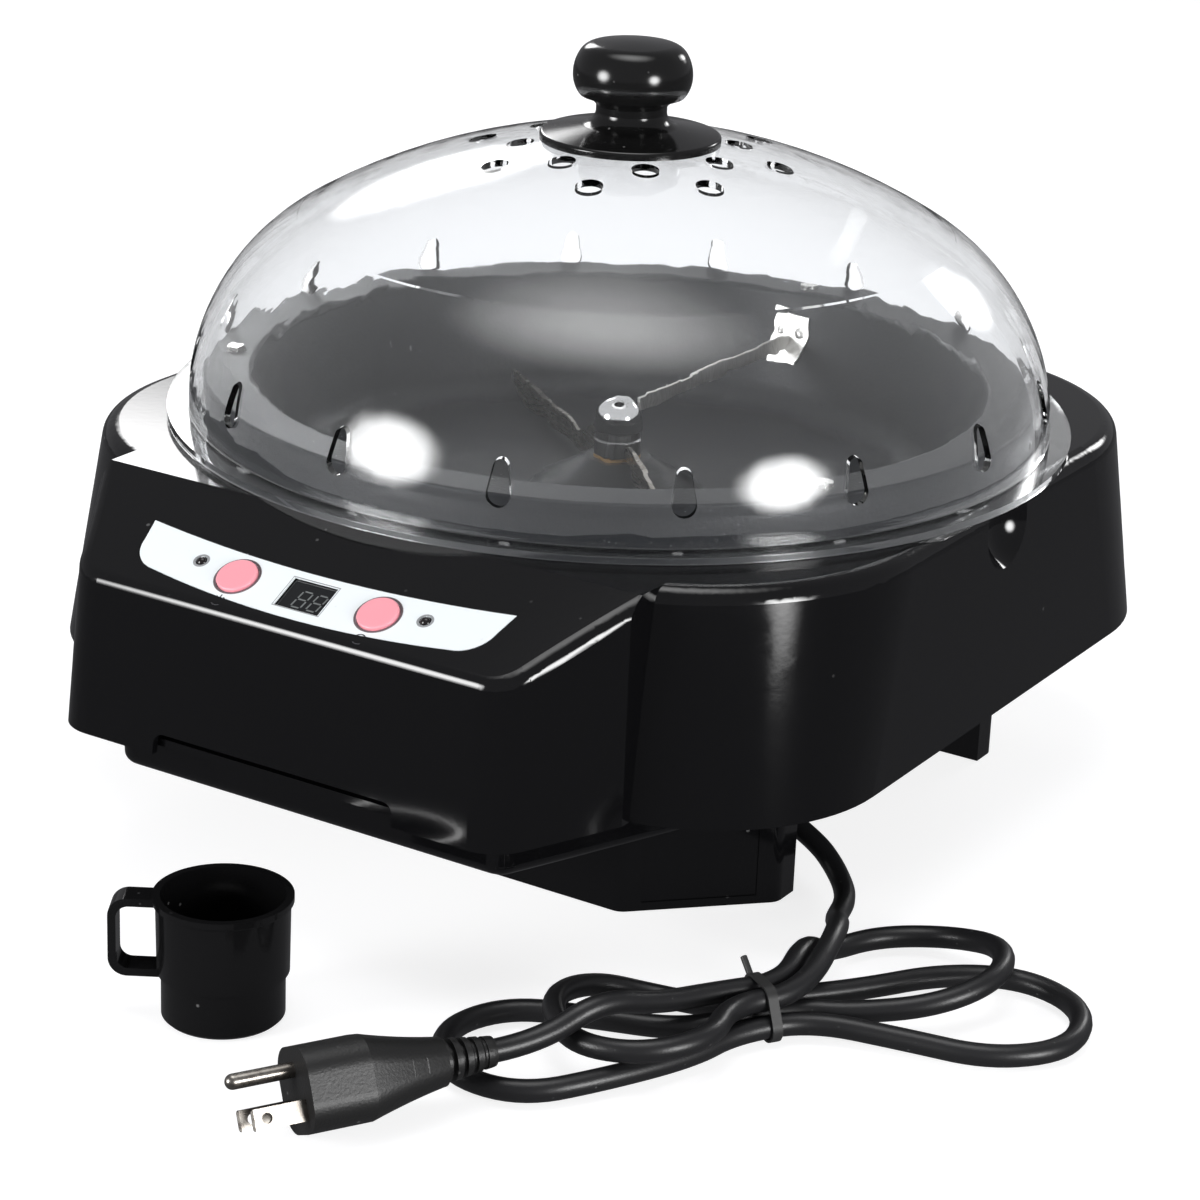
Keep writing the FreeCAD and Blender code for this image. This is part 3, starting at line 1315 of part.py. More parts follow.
def plug_section(wide, deep, corner, along):
    """A rounded rectangle across the plug."""
    inner = Part.makePolygon([V(-wide / 2 + corner, -deep / 2 + corner, along),
                              V(wide / 2 - corner, -deep / 2 + corner, along),
                              V(wide / 2 - corner, deep / 2 - corner, along),
                              V(-wide / 2 + corner, deep / 2 - corner, along),
                              V(-wide / 2 + corner, -deep / 2 + corner, along)])
    return inner.makeOffset2D(corner)


plug_corner = 9
body = Part.makeLoft([plug_section(15, 15, 6.5, relief_long), plug_section(22, 20, 8, relief_long + 14),
                      plug_section(plug_wide, plug_deep, plug_corner, grip_end)], True, False)
body = body.fuse(Part.Face(plug_section(plug_wide, plug_deep, plug_corner, grip_end)).extrude(
    V(0, 0, block_long)))
for rib in range(4):
    at = relief_long + 6 + rib * 5
    for side in (-1, 1):
        body = body.cut(Part.makeBox(4, 30, 1.8, V(side * (9.5 + rib * 1.2) - 2 + side * 2, -15, at)))
face_at = grip_end + block_long
blade_spread = 6.35
pin_offset = 6.2
blade_line = pin_offset - 11.9
blades = []
for side in (-1, 1):
    blade = Part.makeBox(1.5, 6.35, 17, V(side * blade_spread - 0.75, blade_line - 3.175, face_at))
    blade = blade.makeChamfer(0.6, [e for e in blade.Edges if e.BoundBox.ZMin > face_at + 16])
    hole = Part.makeCylinder(1.6, 6, V(side * blade_spread - 3, blade_line, face_at + 12.5), V(1, 0, 0))
    blades.append(blade.cut(hole))
ground = Part.makeCylinder(2.38, 18.6, V(0, pin_offset, face_at)).fuse(
    Part.makeSphere(2.38, V(0, pin_offset, face_at + 18.6)))
plug_side = V(UP).cross(plug_heading)
plug_place = FreeCAD.Placement(plug_start, FreeCAD.Rotation(plug_side, UP, plug_heading, "ZXY"))
plug_place = plug_place.multiply(FreeCAD.Placement(V(0, 0, 0), FreeCAD.Rotation(V(0, 0, 1), plug_roll)))
for label, shape in (("plug_strain_relief", relief), ("plug_body", body),
                     ("plug_blades", Part.makeCompound(blades)), ("plug_ground_pin", ground)):
    shape.Placement = plug_place
    feature(label, shape)

# Every piece has to be sound before anything is written
doc.recompute()
for item in doc.Objects:
    if "Invalid" in item.State or "Error" in item.State:
        raise RuntimeError("%s is not built: %s" % (item.Label, item.State))
for item in nodes:
    if item.Shape.isNull() or not item.Shape.isValid():
        raise RuntimeError("%s has no sound shape" % item.Label)
for item in nodes:
    item.Shape.exportStep("parts/%s.step" % item.Label)
    print(item.Label, len(item.Shape.Solids), round(item.Shape.Volume))
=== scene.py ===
import bpy
import math
from mathutils import Matrix, Vector


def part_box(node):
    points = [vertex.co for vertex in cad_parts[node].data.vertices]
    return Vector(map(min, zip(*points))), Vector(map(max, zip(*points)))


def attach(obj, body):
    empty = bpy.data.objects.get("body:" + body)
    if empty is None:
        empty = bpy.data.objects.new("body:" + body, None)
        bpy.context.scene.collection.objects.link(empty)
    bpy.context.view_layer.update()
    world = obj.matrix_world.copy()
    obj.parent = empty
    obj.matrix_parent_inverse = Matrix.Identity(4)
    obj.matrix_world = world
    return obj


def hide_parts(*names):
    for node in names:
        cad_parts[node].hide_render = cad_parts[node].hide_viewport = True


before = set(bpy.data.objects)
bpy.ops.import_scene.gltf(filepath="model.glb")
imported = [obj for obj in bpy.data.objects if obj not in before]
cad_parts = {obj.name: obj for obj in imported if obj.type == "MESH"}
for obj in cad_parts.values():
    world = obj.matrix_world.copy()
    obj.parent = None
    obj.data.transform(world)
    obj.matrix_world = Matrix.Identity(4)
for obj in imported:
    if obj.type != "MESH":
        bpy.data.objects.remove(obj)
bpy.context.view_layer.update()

# Camera: stands to the front right of the roaster and looks down on it a little,
# turned a touch so that the worktop falls away to the right as in the photograph.
field_of_view = 19.551
camera_place = (0.6234, -1.0253, 0.5089)
swing = 31.496
looks_down = 20.638
roll = 2.312
camera = bpy.data.objects.new("Camera", bpy.data.cameras.new("Camera"))
bpy.context.scene.collection.objects.link(camera)
camera.data.angle = math.radians(field_of_view)
camera.matrix_world = (
    Matrix.Translation(camera_place)
    @ Matrix.Rotation(math.radians(swing), 4, "Z")
    @ Matrix.Rotation(math.radians(90 - looks_down), 4, "X")
    @ Matrix.Rotation(math.radians(roll), 4, "Z")
)
bpy.context.scene.camera = camera


# Mains lead: round extruded black PVC flex, 7.3 mm thick. It leaves the bushing in the base and
# drops to the worktop, where four loose loops are held by one twist tie, and it ends at the
# moulded plug. It is drawn as two lengths that meet just before the tie.
def flex(name, route, diameter):
    """A round flexible lead on a smooth line that follows the given control points.

    The thickness is in the points' radius, so that the box round the points is the lead's own.
    """
    line = bpy.data.curves.new(name, "CURVE")
    line.dimensions = "3D"
    spline = line.splines.new("NURBS")
    spline.points.add(len(route) - 1)
    for point, spot in zip(spline.points, route):
        point.co = (*spot, 1)
        point.radius = diameter / 2
    spline.order_u = 3
    spline.use_endpoint_u = True
    spline.resolution_u = 8
    line.bevel_depth = 1
    line.bevel_resolution = 6
    piece = bpy.data.objects.new(name, line)
    bpy.context.scene.collection.objects.link(piece)
    return piece


lead_diameter = 0.0073
lead_exit = (0.10774, -0.05488, 0.01851)
lead_meets_hank = (0.16775, -0.13775, 0.01625)
free_lead = flex("free_lead", [
    lead_exit,
    (0.121, -0.058, 0.015), (0.1325, -0.064, 0.010), (0.144, -0.076, 0.0065),
    (0.1505, -0.098, 0.0085), (0.164, -0.119, 0.020),
    lead_meets_hank,
], lead_diameter)
tied_lead = flex("tied_lead", [
    lead_meets_hank,
    (0.1715, -0.1565, 0.0125), (0.157, -0.178, 0.0125), (0.1655, -0.20275, 0.01425),
    (0.1525, -0.22375, 0.0135), (0.12825, -0.2265, 0.01175), (0.11025, -0.2095, 0.01425),
    (0.11125, -0.18575, 0.0105), (0.1275, -0.172, 0.0045), (0.1495, -0.168, 0.005),
    (0.1615, -0.1495, 0.005), (0.178, -0.129, 0.0045), (0.194, -0.104, 0.0045),
    (0.217, -0.0895, 0.004), (0.2425, -0.0985, 0.004), (0.250, -0.125, 0.004),
    (0.2325, -0.146, 0.004), (0.2045, -0.1515, 0.0045), (0.175, -0.1585, 0.005),
    (0.1605, -0.1805, 0.005), (0.157, -0.1985, 0.004), (0.1445, -0.228, 0.005),
    (0.128, -0.2515, 0.004), (0.101, -0.252, 0.004), (0.085, -0.230, 0.004),
    (0.0935, -0.205, 0.004), (0.1205, -0.196, 0.0045), (0.144, -0.187, 0.004),
    (0.155, -0.174, 0.005), (0.168, -0.154, 0.005), (0.183, -0.147, 0.005),
    (0.207, -0.134, 0.0095), (0.218, -0.1125, 0.0135), (0.209, -0.089, 0.0125),
    (0.1855, -0.080, 0.006), (0.164, -0.092, 0.0045), (0.156, -0.114, 0.005),
    (0.158, -0.1325, 0.016), (0.163, -0.1545, 0.0125), (0.150, -0.17325, 0.013),
    (0.14225, -0.197, 0.01675), (0.13525, -0.219, 0.02475), (0.1252, -0.2363, 0.015),
    (0.117, -0.250, 0.015),
], lead_diameter)
bpy.context.view_layer.update()
for piece, replaced in ((free_lead, "power_cord"), (tied_lead, "cord_hank")):
    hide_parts(replaced)
    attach(piece, "base")


def place(tree, kind, sockets=None, **settings):
    """Adds a node, and fills its sockets with values or with what other nodes give."""
    made = tree.nodes.new("ShaderNode" + kind)
    for name, value in settings.items():
        setattr(made, name, value)
    for name, value in (sockets or {}).items():
        if isinstance(value, bpy.types.NodeSocket):
            tree.links.new(value, made.inputs[name])
        else:
            made.inputs[name].default_value = value
    return made


def sum_of(tree, operation, *values):
    """One step of arithmetic on numbers or on what other nodes give."""
    return place(tree, "Math", dict(enumerate(values)), operation=operation).outputs[0]


def new_group(name, takes, gives):
    """An empty node group that takes (name, default) sockets and gives named numbers."""
    made = bpy.data.node_groups.new(name, "ShaderNodeTree")
    for label, default in takes:
        kind = "NodeSocketVector" if isinstance(default, tuple) else "NodeSocketFloat"
        made.interface.new_socket(label, in_out="INPUT", socket_type=kind).default_value = default
    for label in gives:
        made.interface.new_socket(label, in_out="OUTPUT", socket_type="NodeSocketFloat")
    return made, made.nodes.new("NodeGroupInput").outputs, made.nodes.new("NodeGroupOutput").inputs


def node_material(name):
    """A new material with its node tree, its shader and its output."""
    made = bpy.data.materials.new(name)
    made.use_nodes = True
    tree = made.node_tree
    return made, tree, tree.nodes["Principled BSDF"], tree.nodes["Material Output"]


def dress(material, *names):
    """Gives CAD nodes, or pieces of this file, a finish."""
    for name in names:
        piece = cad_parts.get(name) or bpy.data.objects[name]
        piece.data.materials.clear()
        piece.data.materials.append(material)


# The skin that the lead shares with all moulded plastic: the fine grain of the tool, patches
# that are a little more or less polished, and specks of dust.
moulded_skin, given, result = new_group("moulded_skin", [
    ("Peel Scale", 420.0), ("Speck Scale", 330.0), ("Speck Share", 0.05), ("Dust", 0.4),
    ("Roughness", 0.1), ("Unevenness", 0.04),
], ["Height", "Speck Mask", "Roughness"])
where = place(moulded_skin, "TexCoord").outputs["Object"]
peel = place(moulded_skin, "TexNoise", {"Vector": where, "Scale": given["Peel Scale"], "Detail": 2})
moulded_skin.links.new(peel.outputs["Fac"], result["Height"])
speck = place(moulded_skin, "TexVoronoi", {"Vector": where, "Scale": given["Speck Scale"]})
speck_dot = place(moulded_skin, "MapRange", {
    "Value": speck.outputs["Distance"], "From Min": 0.22, "From Max": 0.10})
speck_draw = place(moulded_skin, "SeparateColor", {"Color": speck.outputs["Color"]})
speck_kept = sum_of(moulded_skin, "LESS_THAN", speck_draw.outputs["Red"], given["Speck Share"])
speck_seen = sum_of(moulded_skin, "MULTIPLY", speck_dot.outputs["Result"], speck_kept)
speck_worth = sum_of(moulded_skin, "MULTIPLY", speck_seen, speck_draw.outputs["Green"])
speck_shown = sum_of(moulded_skin, "MULTIPLY", speck_worth, given["Dust"])
moulded_skin.links.new(speck_shown, result["Speck Mask"])
patch = place(moulded_skin, "TexNoise", {"Vector": where, "Scale": 14, "Detail": 4})
patch_centred = sum_of(moulded_skin, "SUBTRACT", patch.outputs["Fac"], 0.5)
patchy = sum_of(moulded_skin, "MULTIPLY_ADD", patch_centred, given["Unevenness"], given["Roughness"])
moulded_skin.links.new(patchy, result["Roughness"])


def moulded(name, colour, roughness, peel=420, bump=0.03, dust=0.4, share=0.05, speck=330,
            unevenness=0.04, speck_colour=(0.25, 0.25, 0.25)):
    """A plastic, rubber or sprayed finish on the moulded skin group."""
    made, tree, shader, _ = node_material(name)
    skin = place(tree, "Group", {
        "Peel Scale": peel, "Speck Scale": speck, "Speck Share": share,
        "Dust": dust, "Roughness": roughness, "Unevenness": unevenness,
    }, node_tree=moulded_skin)
    tint = place(tree, "Mix", {
        "Factor": skin.outputs["Speck Mask"], "A": (*colour, 1), "B": (*speck_colour, 1),
    }, data_type="RGBA")
    tree.links.new(tint.outputs["Result"], shader.inputs["Base Color"])
    tree.links.new(skin.outputs["Roughness"], shader.inputs["Roughness"])
    relief = place(tree, "Bump", {"Strength": bump, "Distance": 0.0004, "Height": skin.outputs["Height"]})
    tree.links.new(relief.outputs["Normal"], shader.inputs["Normal"])
    return made


flex_black = moulded("flex_black", (0.011, 0.011, 0.012), 0.36, peel=1500, bump=0.12, dust=0.3, speck=500)
dress(flex_black, "free_lead", "tied_lead")


# Plug, bushing and tie: the plug and its ribbed strain relief are moulded on the lead in PVC,
# the bushing is pushed into the base, and the tie is plastic-covered wire. The blades and the
# round ground pin are nickel-plated brass, with the strokes and stains that all metals share.
worked_metal, given, result = new_group("worked_metal", [
    ("Stroke", (900.0, 900.0, 40.0)), ("Roughness", 0.25), ("Spread", 0.15), ("Stain Scale", 30.0),
], ["Tone", "Roughness", "Height"])
where = place(worked_metal, "TexCoord").outputs["Object"]
stretched = place(worked_metal, "VectorMath", {0: where, 1: given["Stroke"]}, operation="MULTIPLY")
strokes = place(worked_metal, "TexNoise", {"Vector": stretched.outputs[0], "Scale": 1, "Detail": 3})
stain = place(worked_metal, "TexNoise", {"Vector": where, "Scale": given["Stain Scale"], "Detail": 5})
worked_metal.links.new(strokes.outputs["Fac"], result["Height"])
tone = sum_of(worked_metal, "MULTIPLY", strokes.outputs["Fac"], stain.outputs["Fac"])
worked_metal.links.new(tone, result["Tone"])
brushed = sum_of(worked_metal, "MULTIPLY_ADD", strokes.outputs["Fac"], given["Spread"], given["Roughness"])
worked_metal.links.new(brushed, result["Roughness"])


def metal(name, colour, stained, roughness, stroke=(900.0, 900.0, 40.0), stain=30.0):
    """A metal finish: its clean colour, the colour of its stains, and the way it was brushed."""
    made, tree, shader, _ = node_material(name)
    grain = place(tree, "Group", {
        "Stroke": stroke, "Roughness": roughness, "Spread": 0.15, "Stain Scale": stain,
    }, node_tree=worked_metal)
    tint = place(tree, "ValToRGB", {"Fac": grain.outputs["Tone"]})
    dull, clean = tint.color_ramp.elements
    dull.position, dull.color = 0.12, (*stained, 1)
    clean.position, clean.color = 0.34, (*colour, 1)
    tree.links.new(tint.outputs[0], shader.inputs["Base Color"])
    tree.links.new(grain.outputs["Roughness"], shader.inputs["Roughness"])
    shader.inputs["Metallic"].default_value = 1
    relief = place(tree, "Bump", {"Strength": 0.05, "Distance": 0.0003, "Height": grain.outputs["Height"]})
    tree.links.new(relief.outputs["Normal"], shader.inputs["Normal"])
    return made


plug_pvc = moulded("plug_pvc", (0.010, 0.010, 0.010), 0.42, peel=1100, bump=0.2, dust=0.4, share=0.08)
dress(plug_pvc, "plug_body", "plug_strain_relief", "cord_bushing")
dress(moulded("tie_black", (0.02, 0.02, 0.02), 0.5, peel=900, bump=0.1), "cord_tie")
nickel = metal("nickel_plate", (0.36, 0.34, 0.31), (0.20, 0.18, 0.16), 0.22, stroke=(60.0, 700.0, 700.0))
dress(nickel, "plug_blades", "plug_ground_pin")


# Worktop and studio: a white sheet that the roaster stands on, in white surroundings. The sheet
# glows by itself, so that shadows stay faint. Both are dimmer where polished plastic mirrors
# them.
worktop_half, worktop_drop = 6, 0.0004
worktop_corners = [(across * worktop_half, deep * worktop_half, -worktop_drop)
                   for across, deep in ((-1, -1), (1, -1), (1, 1), (-1, 1))]
worktop_mesh = bpy.data.meshes.new("worktop")
worktop_mesh.from_pydata(worktop_corners, [], [(0, 1, 2, 3)])
worktop = bpy.data.objects.new("worktop", worktop_mesh)
bpy.context.scene.collection.objects.link(worktop)
worktop_white, tree, shader, output = node_material("worktop_white")
shader.inputs["Base Color"].default_value = (0.42, 0.42, 0.43, 1)
shader.inputs["Roughness"].default_value = 0.9
shader.inputs["Specular IOR Level"].default_value = 0.0
glow = place(tree, "Emission", {"Color": (1, 1, 1, 1), "Strength": 0.80})
lit = place(tree, "AddShader", {0: shader.outputs[0], 1: glow.outputs[0]})
dim = place(tree, "Emission", {"Color": (0.10, 0.10, 0.105, 1)})
ray = place(tree, "LightPath").outputs
straight = sum_of(tree, "SUBTRACT", 1, ray["Is Transmission Ray"])
mirrored = sum_of(tree, "MULTIPLY", ray["Is Glossy Ray"], straight)
chosen = place(tree, "MixShader", {0: mirrored, 1: lit.outputs[0], 2: dim.outputs[0]})
tree.links.new(chosen.outputs[0], output.inputs["Surface"])
worktop_mesh.materials.append(worktop_white)

studio = bpy.data.worlds.new("studio")
bpy.context.scene.world = studio
studio.use_nodes = True
tree = studio.node_tree
backdrop = tree.nodes["Background"]
backdrop.inputs["Color"].default_value = (0.22, 0.22, 0.23, 1)
bright = place(tree, "Background", {"Color": (1, 1, 1, 1)})
ray = place(tree, "LightPath").outputs
clear_way = sum_of(tree, "MAXIMUM", ray["Is Camera Ray"], ray["Is Transmission Ray"])
chosen = place(tree, "MixShader", {0: clear_way, 1: backdrop.outputs[0], 2: bright.outputs[0]})
tree.links.new(chosen.outputs[0], tree.nodes["World Output"].inputs["Surface"])
bpy.context.scene.view_settings.view_transform = "Standard"


# Lamps: two low soft boxes in front make the white glows on the dome and the streaks along the
# housing's rounded edges. A large one hangs overhead and two small ones stand behind.
def soft_box(name, stands_at, aim, wide, tall, power, core):
    """A lamp whose light fades from its core to its edges."""
    lamp = bpy.data.lights.new(name, "AREA")
    lamp.shape = "ELLIPSE"
    lamp.size, lamp.size_y = wide, tall
    lamp.energy = power
    lamp.use_nodes = True
    tree = lamp.node_tree
    across = place(tree, "NewGeometry").outputs["Parametric"]
    off_centre = place(tree, "VectorMath", {0: across, 1: (0.5, 0.5, 0)}, operation="SUBTRACT")
    parts = place(tree, "SeparateXYZ", {0: off_centre.outputs[0]}).outputs
    square = sum_of(tree, "MULTIPLY_ADD", parts[0], parts[0], sum_of(tree, "MULTIPLY", parts[1], parts[1]))
    fade = place(tree, "MapRange", {
        "Value": sum_of(tree, "SQRT", square), "From Min": 0.5, "From Max": core,
    }, interpolation_type="SMOOTHSTEP")
    tree.links.new(fade.outputs["Result"], tree.nodes["Emission"].inputs["Strength"])
    stand = bpy.data.objects.new(name, lamp)
    bpy.context.scene.collection.objects.link(stand)
    stand.location = stands_at
    stand.rotation_euler = (Vector(aim) - Vector(stands_at)).to_track_quat("-Z", "Y").to_euler()
    stand.visible_camera = False


soft_box("overhead", stands_at=(0.0, -0.1, 1.6), aim=(0, 0, 0.1), wide=1.8, tall=1.5, power=26, core=0.0)
soft_box("front_left", stands_at=(-0.73, -1.43, 0.42), aim=(0, -0.15, 0.13),
         wide=0.90, tall=1.00, power=46, core=0.12)
soft_box("front_right", stands_at=(1.57, -0.48, 0.36), aim=(0.1, -0.1, 0.13),
         wide=0.80, tall=0.86, power=40, core=0.12)
for name, stands_at in (("back_left", (-1.0, 0.9, 0.75)), ("back_right", (0.3, 1.5, 0.75))):
    soft_box(name, stands_at, aim=(0, 0, 0.14), wide=0.6, tall=0.6, power=12, core=0.0)


# Housing and base: two injection mouldings from tools polished to a piano black, joined by
# screws from below.
piano_black = moulded("piano_black", (0.0030, 0.0030, 0.0034), 0.085,
                      bump=0.02, dust=0.35, share=0.012, speck=260)
dress(piano_black, "body_shell", "base_moulding")


# Lid: a dome moulded in clear plastic, with round steam holes near the top and egg-shaped vents
# near the foot. Its glossy black knob is held by one screw from inside.
lid_clear, tree, shader, output = node_material("lid_clear")
shader.inputs["Base Color"].default_value = (0.97, 0.98, 0.99, 1)
shader.inputs["Roughness"].default_value = 0.02
shader.inputs["IOR"].default_value = 1.5
shader.inputs["Transmission Weight"].default_value = 1.0
where = place(tree, "TexCoord").outputs["Object"]
ripple = place(tree, "TexNoise", {"Vector": where, "Scale": 22, "Detail": 2})
relief = place(tree, "Bump", {"Strength": 0.05, "Distance": 0.002, "Height": ripple.outputs["Fac"]})
tree.links.new(relief.outputs["Normal"], shader.inputs["Normal"])
see_through = place(tree, "BsdfTransparent", {"Color": (0.93, 0.94, 0.95, 1)})
ray = place(tree, "LightPath").outputs
passing = sum_of(tree, "MAXIMUM", ray["Is Shadow Ray"], ray["Is Diffuse Ray"])
chosen = place(tree, "MixShader", {0: passing, 1: shader.outputs[0], 2: see_through.outputs[0]})
tree.links.new(chosen.outputs[0], output.inputs["Surface"])
dress(lid_clear, "lid_dome")
knob_black = moulded("knob_black", (0.006, 0.006, 0.006), 0.13,
                     peel=260, bump=0.05, dust=0.8, share=0.08, speck=420)
dress(knob_black, "lid_knob")


# Panel film: a thin white printed film in a recess of the housing's slope. Grey rings are
# printed round the caps and the lamps, a thin frame round the display, and a power mark and a
# clock in front of the caps.
panel_low = Vector((0, -0.2005, 0.108))
panel_rise, panel_run = 0.025, 0.0505
panel_lean = math.atan2(panel_rise, panel_run)
up_slope = Vector((0, math.cos(panel_lean), math.sin(panel_lean)))
off_slope = Vector((0, -math.sin(panel_lean), math.cos(panel_lean)))
film_top = -0.0001
ink_low, ink_high = film_top - 0.00002, film_top + 0.00003


def printed(name, lines, low, high):
    """A piece of thin raised lines on the panel.

    Each line is its points, across and up the slope, its width, and whether it closes. Low and
    high are how far its faces stand out of the slope.
    """
    corners, faces = [], []
    for points, width, closes in lines:
        first, count = len(corners), len(points)
        for i, (x, up) in enumerate(points):
            back = points[i - 1] if closes or i else points[i]
            ahead = points[(i + 1) % count] if closes or i < count - 1 else points[i]
            along = Vector((ahead[0] - back[0], ahead[1] - back[1])).normalized() * width / 2
            for side, out in ((-1, low), (1, low), (1, high), (-1, high)):
                across_x, across_up = x - side * along.y, up + side * along.x
                across = Vector((across_x, 0, 0))
                corners.append(panel_low + across + up_slope * across_up + off_slope * out)
        for i in range(count if closes else count - 1):
            here, there = first + 4 * i, first + 4 * ((i + 1) % count)
            for k in range(4):
                faces.append((here + k, here + (k + 1) % 4, there + (k + 1) % 4, there + k))
        if not closes:
            last = first + 4 * (count - 1)
            faces += [(first + 3, first + 2, first + 1, first), (last, last + 1, last + 2, last + 3)]
    ink = bpy.data.meshes.new(name)
    ink.from_pydata(corners, [], faces)
    piece = bpy.data.objects.new(name, ink)
    bpy.context.scene.collection.objects.link(piece)
    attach(piece, "base")


def arc(x, up, radius, start=0, stop=360, steps=40):
    """Points on a part of a circle on the panel, in degrees from straight across."""
    span = steps if stop - start == 360 else steps - 1
    turns = [math.radians(start + (stop - start) * i / span) for i in range(steps)]
    return [(x + radius * math.cos(t), up + radius * math.sin(t)) for t in turns]


cap_x, cap_up = 0.028, 0.015
lamp_x, lamp_up = 0.0445, 0.0175
cap_ring, lamp_ring, ring_line = 0.00775, 0.0025, 0.0008
window_half, window_low, window_high, window_line = 0.0092, 0.0078, 0.0212, 0.00045
printed("cap_rings", [
    (arc(side * cap_x, cap_up, cap_ring), ring_line, True) for side in (-1, 1)
], ink_low, ink_high)
window = [(-window_half, window_low), (window_half, window_low),
          (window_half, window_high), (-window_half, window_high)]
printed("lamp_rings", [
    (arc(side * lamp_x, lamp_up, lamp_ring), ring_line, True) for side in (-1, 1)
] + [(window, window_line, True)], ink_low, ink_high)

mark_up, mark_radius, mark_line = 0.0035, 0.0021, 0.00042
power_ring = arc(-cap_x, mark_up, mark_radius, 125, 415)
power_stroke = [(-cap_x, mark_up + 0.0006), (-cap_x, mark_up + 0.0027)]
clock_ring = arc(cap_x, mark_up, mark_radius)
clock_hands = [(cap_x, mark_up + 0.0013), (cap_x, mark_up), (cap_x + 0.0010, mark_up - 0.0005)]
printed("control_marks", [
    (power_ring, mark_line, False), (power_stroke, mark_line, False),
    (clock_ring, mark_line, True), (clock_hands, mark_line, False),
], ink_low, ink_high)
film_white = moulded("film_white", (0.88, 0.93, 0.95), 0.14, bump=0.01, dust=0.12, peel=60)
dress(film_white, "control_overlay")
dress(moulded("ring_grey", (0.13, 0.10, 0.11), 0.3), "cap_rings")
dress(moulded("ring_pale", (0.30, 0.31, 0.32), 0.3), "lamp_rings")
dress(moulded("mark_black", (0.04, 0.04, 0.045), 0.35), "control_marks")


# Display and lamps: a display of two unlit seven-bar digits behind smoked plastic, and two
# unlit lamps with dark lenses. All are soldered to the control board.
digit_wide, digit_tall, digit_slant = 0.0038, 0.0072, 0.12
digit_foot, digit_middle = 0.0098, 0.0134
bar_line, bar_low, bar_high = 0.00055, -0.00102, -0.00096
bars = []
for middle in (-0.0012, 0.0048):
    spots = {}
    for row, rise in enumerate((digit_foot, digit_foot + digit_tall / 2, digit_foot + digit_tall)):
        for side in (-1, 1):
            lean = (rise - digit_middle) * digit_slant
            spots[row, side] = (middle + side * digit_wide / 2 + lean, rise)
    ends = [(spots[row, -1], spots[row, 1]) for row in range(3)]
    ends += [(spots[row, side], spots[row + 1, side]) for row in range(2) for side in (-1, 1)]
    for (x0, up0), (x1, up1) in ends:
        bar = [(x0 + (x1 - x0) * part, up0 + (up1 - up0) * part) for part in (0.12, 0.88)]
        bars.append((bar, bar_line, False))
printed("digit_bars", bars, bar_low, bar_high)
dress(moulded("bar_grey", (0.16, 0.17, 0.17), 0.3), "digit_bars")
dress(moulded("smoked_window", (0.010, 0.011, 0.012), 0.09, bump=0.01, dust=0.5), "display_module")
dress(moulded("lamp_dark", (0.012, 0.010, 0.010), 0.10, bump=0.02), "indicator_lamps")


# Buttons: two round satin caps moulded in a rosy plastic. Each has a collar that keeps it in the
# housing and a stem that presses its switch.
cap_rose = moulded("cap_rose", (0.95, 0.36, 0.42), 0.33, peel=700, bump=0.06, dust=0.1)
dress(cap_rose, "on_off_button", "timer_button")


# Roasting pan: pressed aluminium with a sprayed non-stick coat, dark grey with a fine pale
# speckle. It hangs in the housing's mouth and is held by three screws.
pan_coat = moulded("pan_coat", (0.020, 0.021, 0.023), 0.42, peel=700, bump=0.22, dust=0.9, share=0.25,
                   speck=620, unevenness=0.18, speck_colour=(0.22, 0.22, 0.23))
pan_coat.node_tree.nodes["Principled BSDF"].inputs["Specular IOR Level"].default_value = 0.2
dress(pan_coat, "roasting_pan")


# Baffle: a steel strip that turns the beans over, on a plate that two rivets hold to the pan's
# wall. The rivets, the three pan screws and the knob's screw are bright.
strip_steel = metal("strip_steel", (0.66, 0.65, 0.63), (0.46, 0.45, 0.43), 0.30,
                    stroke=(300.0, 1200.0, 300.0))
dress(strip_steel, "bean_baffle")
bright_steel = metal("bright_steel", (0.72, 0.71, 0.69), (0.45, 0.44, 0.42), 0.20,
                     stroke=(500.0, 500.0, 500.0))
dress(bright_steel, "baffle_rivets", "pan_screws", "knob_screw")


# Agitator: two steel strips on edge that follow the pan, fixed in a dark hub on the shaft.
# A washer and a chromed dome nut hold the hub, and the nut's foot is knurled for the fingers.
arm_steel = metal("arm_steel", (0.46, 0.44, 0.41), (0.20, 0.18, 0.16), 0.20, stroke=(120.0, 120.0, 900.0))
dress(arm_steel, "agitator_arms", "drive_shaft")
dark_steel = metal("dark_steel", (0.20, 0.20, 0.20), (0.09, 0.09, 0.09), 0.30)
dress(dark_steel, "agitator_hub", "hub_washer")
nut_chrome, tree, shader, output = node_material("nut_chrome")
shader.inputs["Metallic"].default_value = 1
grain = place(tree, "Group", {
    "Stroke": (40.0, 40.0, 700.0), "Roughness": 0.07, "Spread": 0.06,
}, node_tree=worked_metal)
tint = place(tree, "ValToRGB", {"Fac": grain.outputs["Tone"]})
dull, clean = tint.color_ramp.elements
dull.color, clean.color = (0.50, 0.50, 0.50, 1), (0.78, 0.78, 0.79, 1)
tree.links.new(tint.outputs[0], shader.inputs["Base Color"])
tree.links.new(grain.outputs["Roughness"], shader.inputs["Roughness"])
knurl_ridges, knurl_high = 56, 0.0035
where = place(tree, "SeparateXYZ", {0: place(tree, "TexCoord").outputs["Object"]}).outputs
round_nut = sum_of(tree, "ARCTAN2", where[1], where[0])
ridges = sum_of(tree, "SINE", sum_of(tree, "MULTIPLY", round_nut, knurl_ridges))
nut_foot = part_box("dome_nut")[0][2]
near_foot = sum_of(tree, "LESS_THAN", where[2], nut_foot + knurl_high)
knurl = sum_of(tree, "MULTIPLY", ridges, near_foot)
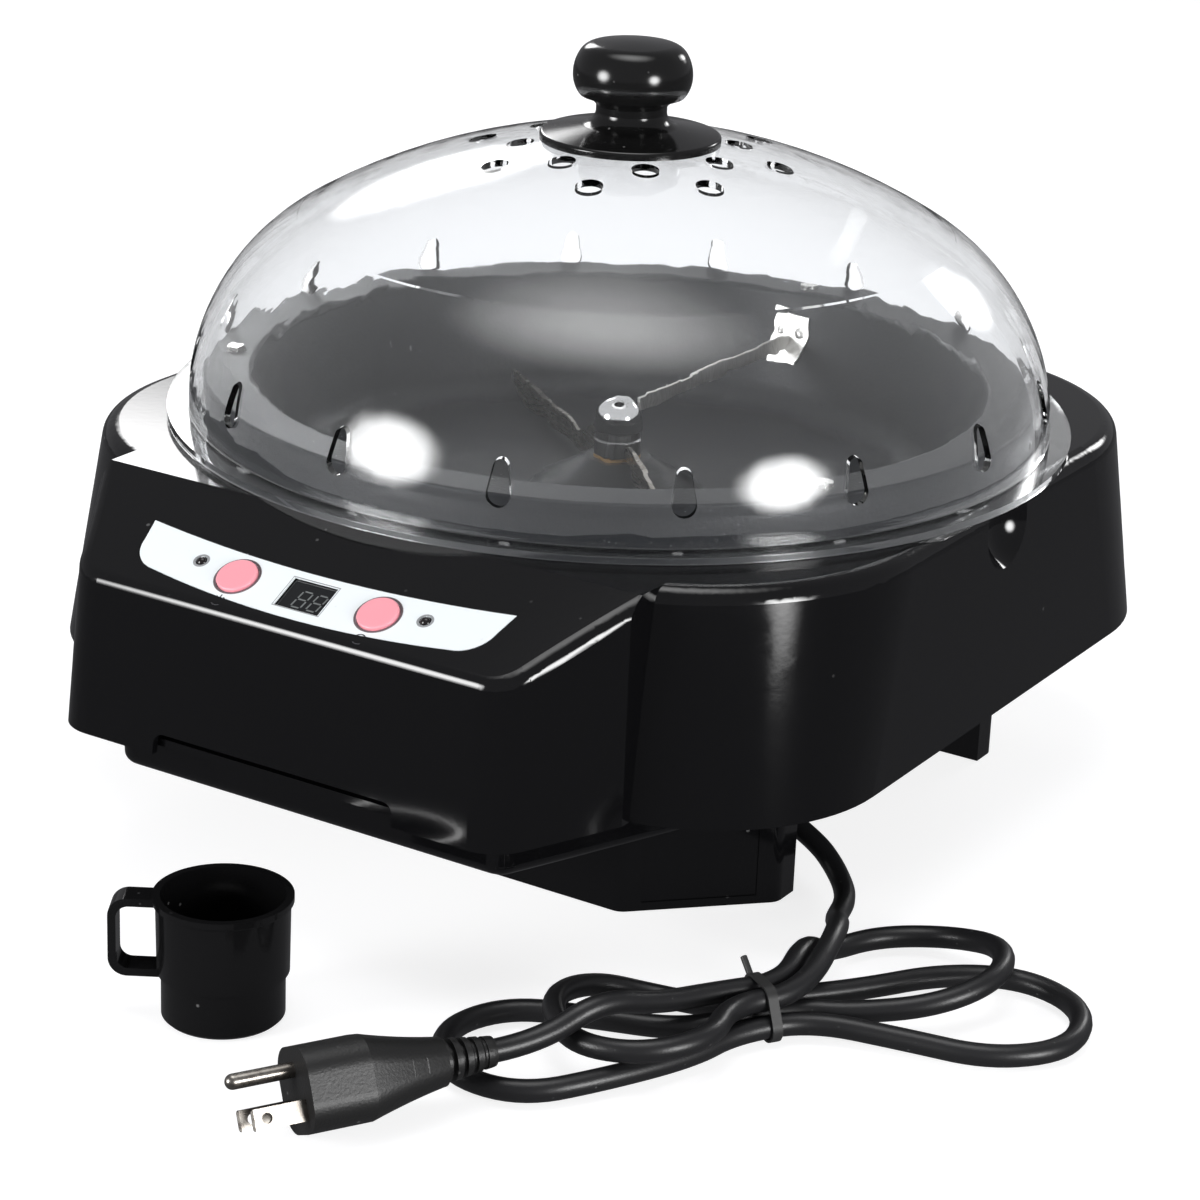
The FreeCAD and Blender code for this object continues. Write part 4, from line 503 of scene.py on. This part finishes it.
relief = place(tree, "Bump", {"Strength": 0.8, "Distance": 0.0004, "Height": knurl})
tree.links.new(relief.outputs["Normal"], shader.inputs["Normal"])
dress(nut_chrome, "dome_nut")


# Heater: a steel-sheathed ring on clips under the pan, over an aluminised steel shield. A
# thermostat and a sleeved fuse guard it, and the shaft turns in a bronze bush.
heater_sheath = metal("heater_sheath", (0.22, 0.20, 0.19), (0.12, 0.10, 0.10), 0.45, stain=60.0)
dress(heater_sheath, "heating_element")
aluminised = metal("aluminised", (0.62, 0.63, 0.64), (0.48, 0.49, 0.50), 0.38, stroke=(90.0, 90.0, 90.0))
dress(aluminised, "heat_shield")
zinc = metal("zinc_plate", (0.60, 0.61, 0.62), (0.44, 0.46, 0.50), 0.30,
             stroke=(200.0, 200.0, 200.0), stain=120.0)
dress(zinc, "heater_clips", "shield_screws", "bracket_screws", "base_screws", "board_mount_screws",
      "board_screws", "thermostat")
dress(moulded("glass_sleeve", (0.62, 0.60, 0.52), 0.6, peel=1800, bump=0.4), "thermal_fuse")
bronze = metal("bronze", (0.56, 0.36, 0.17), (0.30, 0.19, 0.10), 0.40, stroke=(900.0, 900.0, 900.0))
dress(bronze, "shaft_bush")


# Geared motor: a die-cast gearbox with its motor in a drawn steel can, on a bent steel bracket
# with the same zinc plating as the screws that hold it.
die_cast = metal("die_cast", (0.46, 0.46, 0.47), (0.34, 0.34, 0.35), 0.45, stroke=(300.0, 300.0, 300.0))
dress(die_cast, "gearbox")
drawn_can = metal("drawn_can", (0.55, 0.55, 0.56), (0.40, 0.40, 0.42), 0.28, stroke=(60.0, 60.0, 1200.0))
dress(drawn_can, "motor_can")
dress(zinc, "motor_bracket")


# Electrics: two glass-epoxy boards with green resist, a taped transformer, a sleeved
# capacitor, and a relay, a terminal block and two tact switches in black nylon.
resist = moulded("green_resist", (0.012, 0.10, 0.035), 0.3, peel=160, bump=0.2, share=0.2, speck=260,
                 dust=0.8, speck_colour=(0.55, 0.55, 0.50))
dress(resist, "control_board", "power_board")
dress(moulded("winding_tape", (0.62, 0.42, 0.04), 0.35, peel=90, bump=0.2), "transformer")
dress(moulded("blue_sleeve", (0.02, 0.06, 0.20), 0.25, peel=60), "capacitor")
dress(moulded("black_nylon", (0.015, 0.015, 0.016), 0.45, peel=1300, bump=0.15), "relay", "terminal_block",
      "tact_switches")


# Measuring cup: thin black plastic, moulded in one piece with its handle in a polished tool.
# It stands loose beside the roaster.
cup_black = moulded("cup_black", (0.0045, 0.0045, 0.0048), 0.11, peel=300, bump=0.04, dust=0.6, share=0.04)
dress(cup_black, "measuring_cup")

# Brings every placement up to date at the end.
bpy.context.view_layer.update()
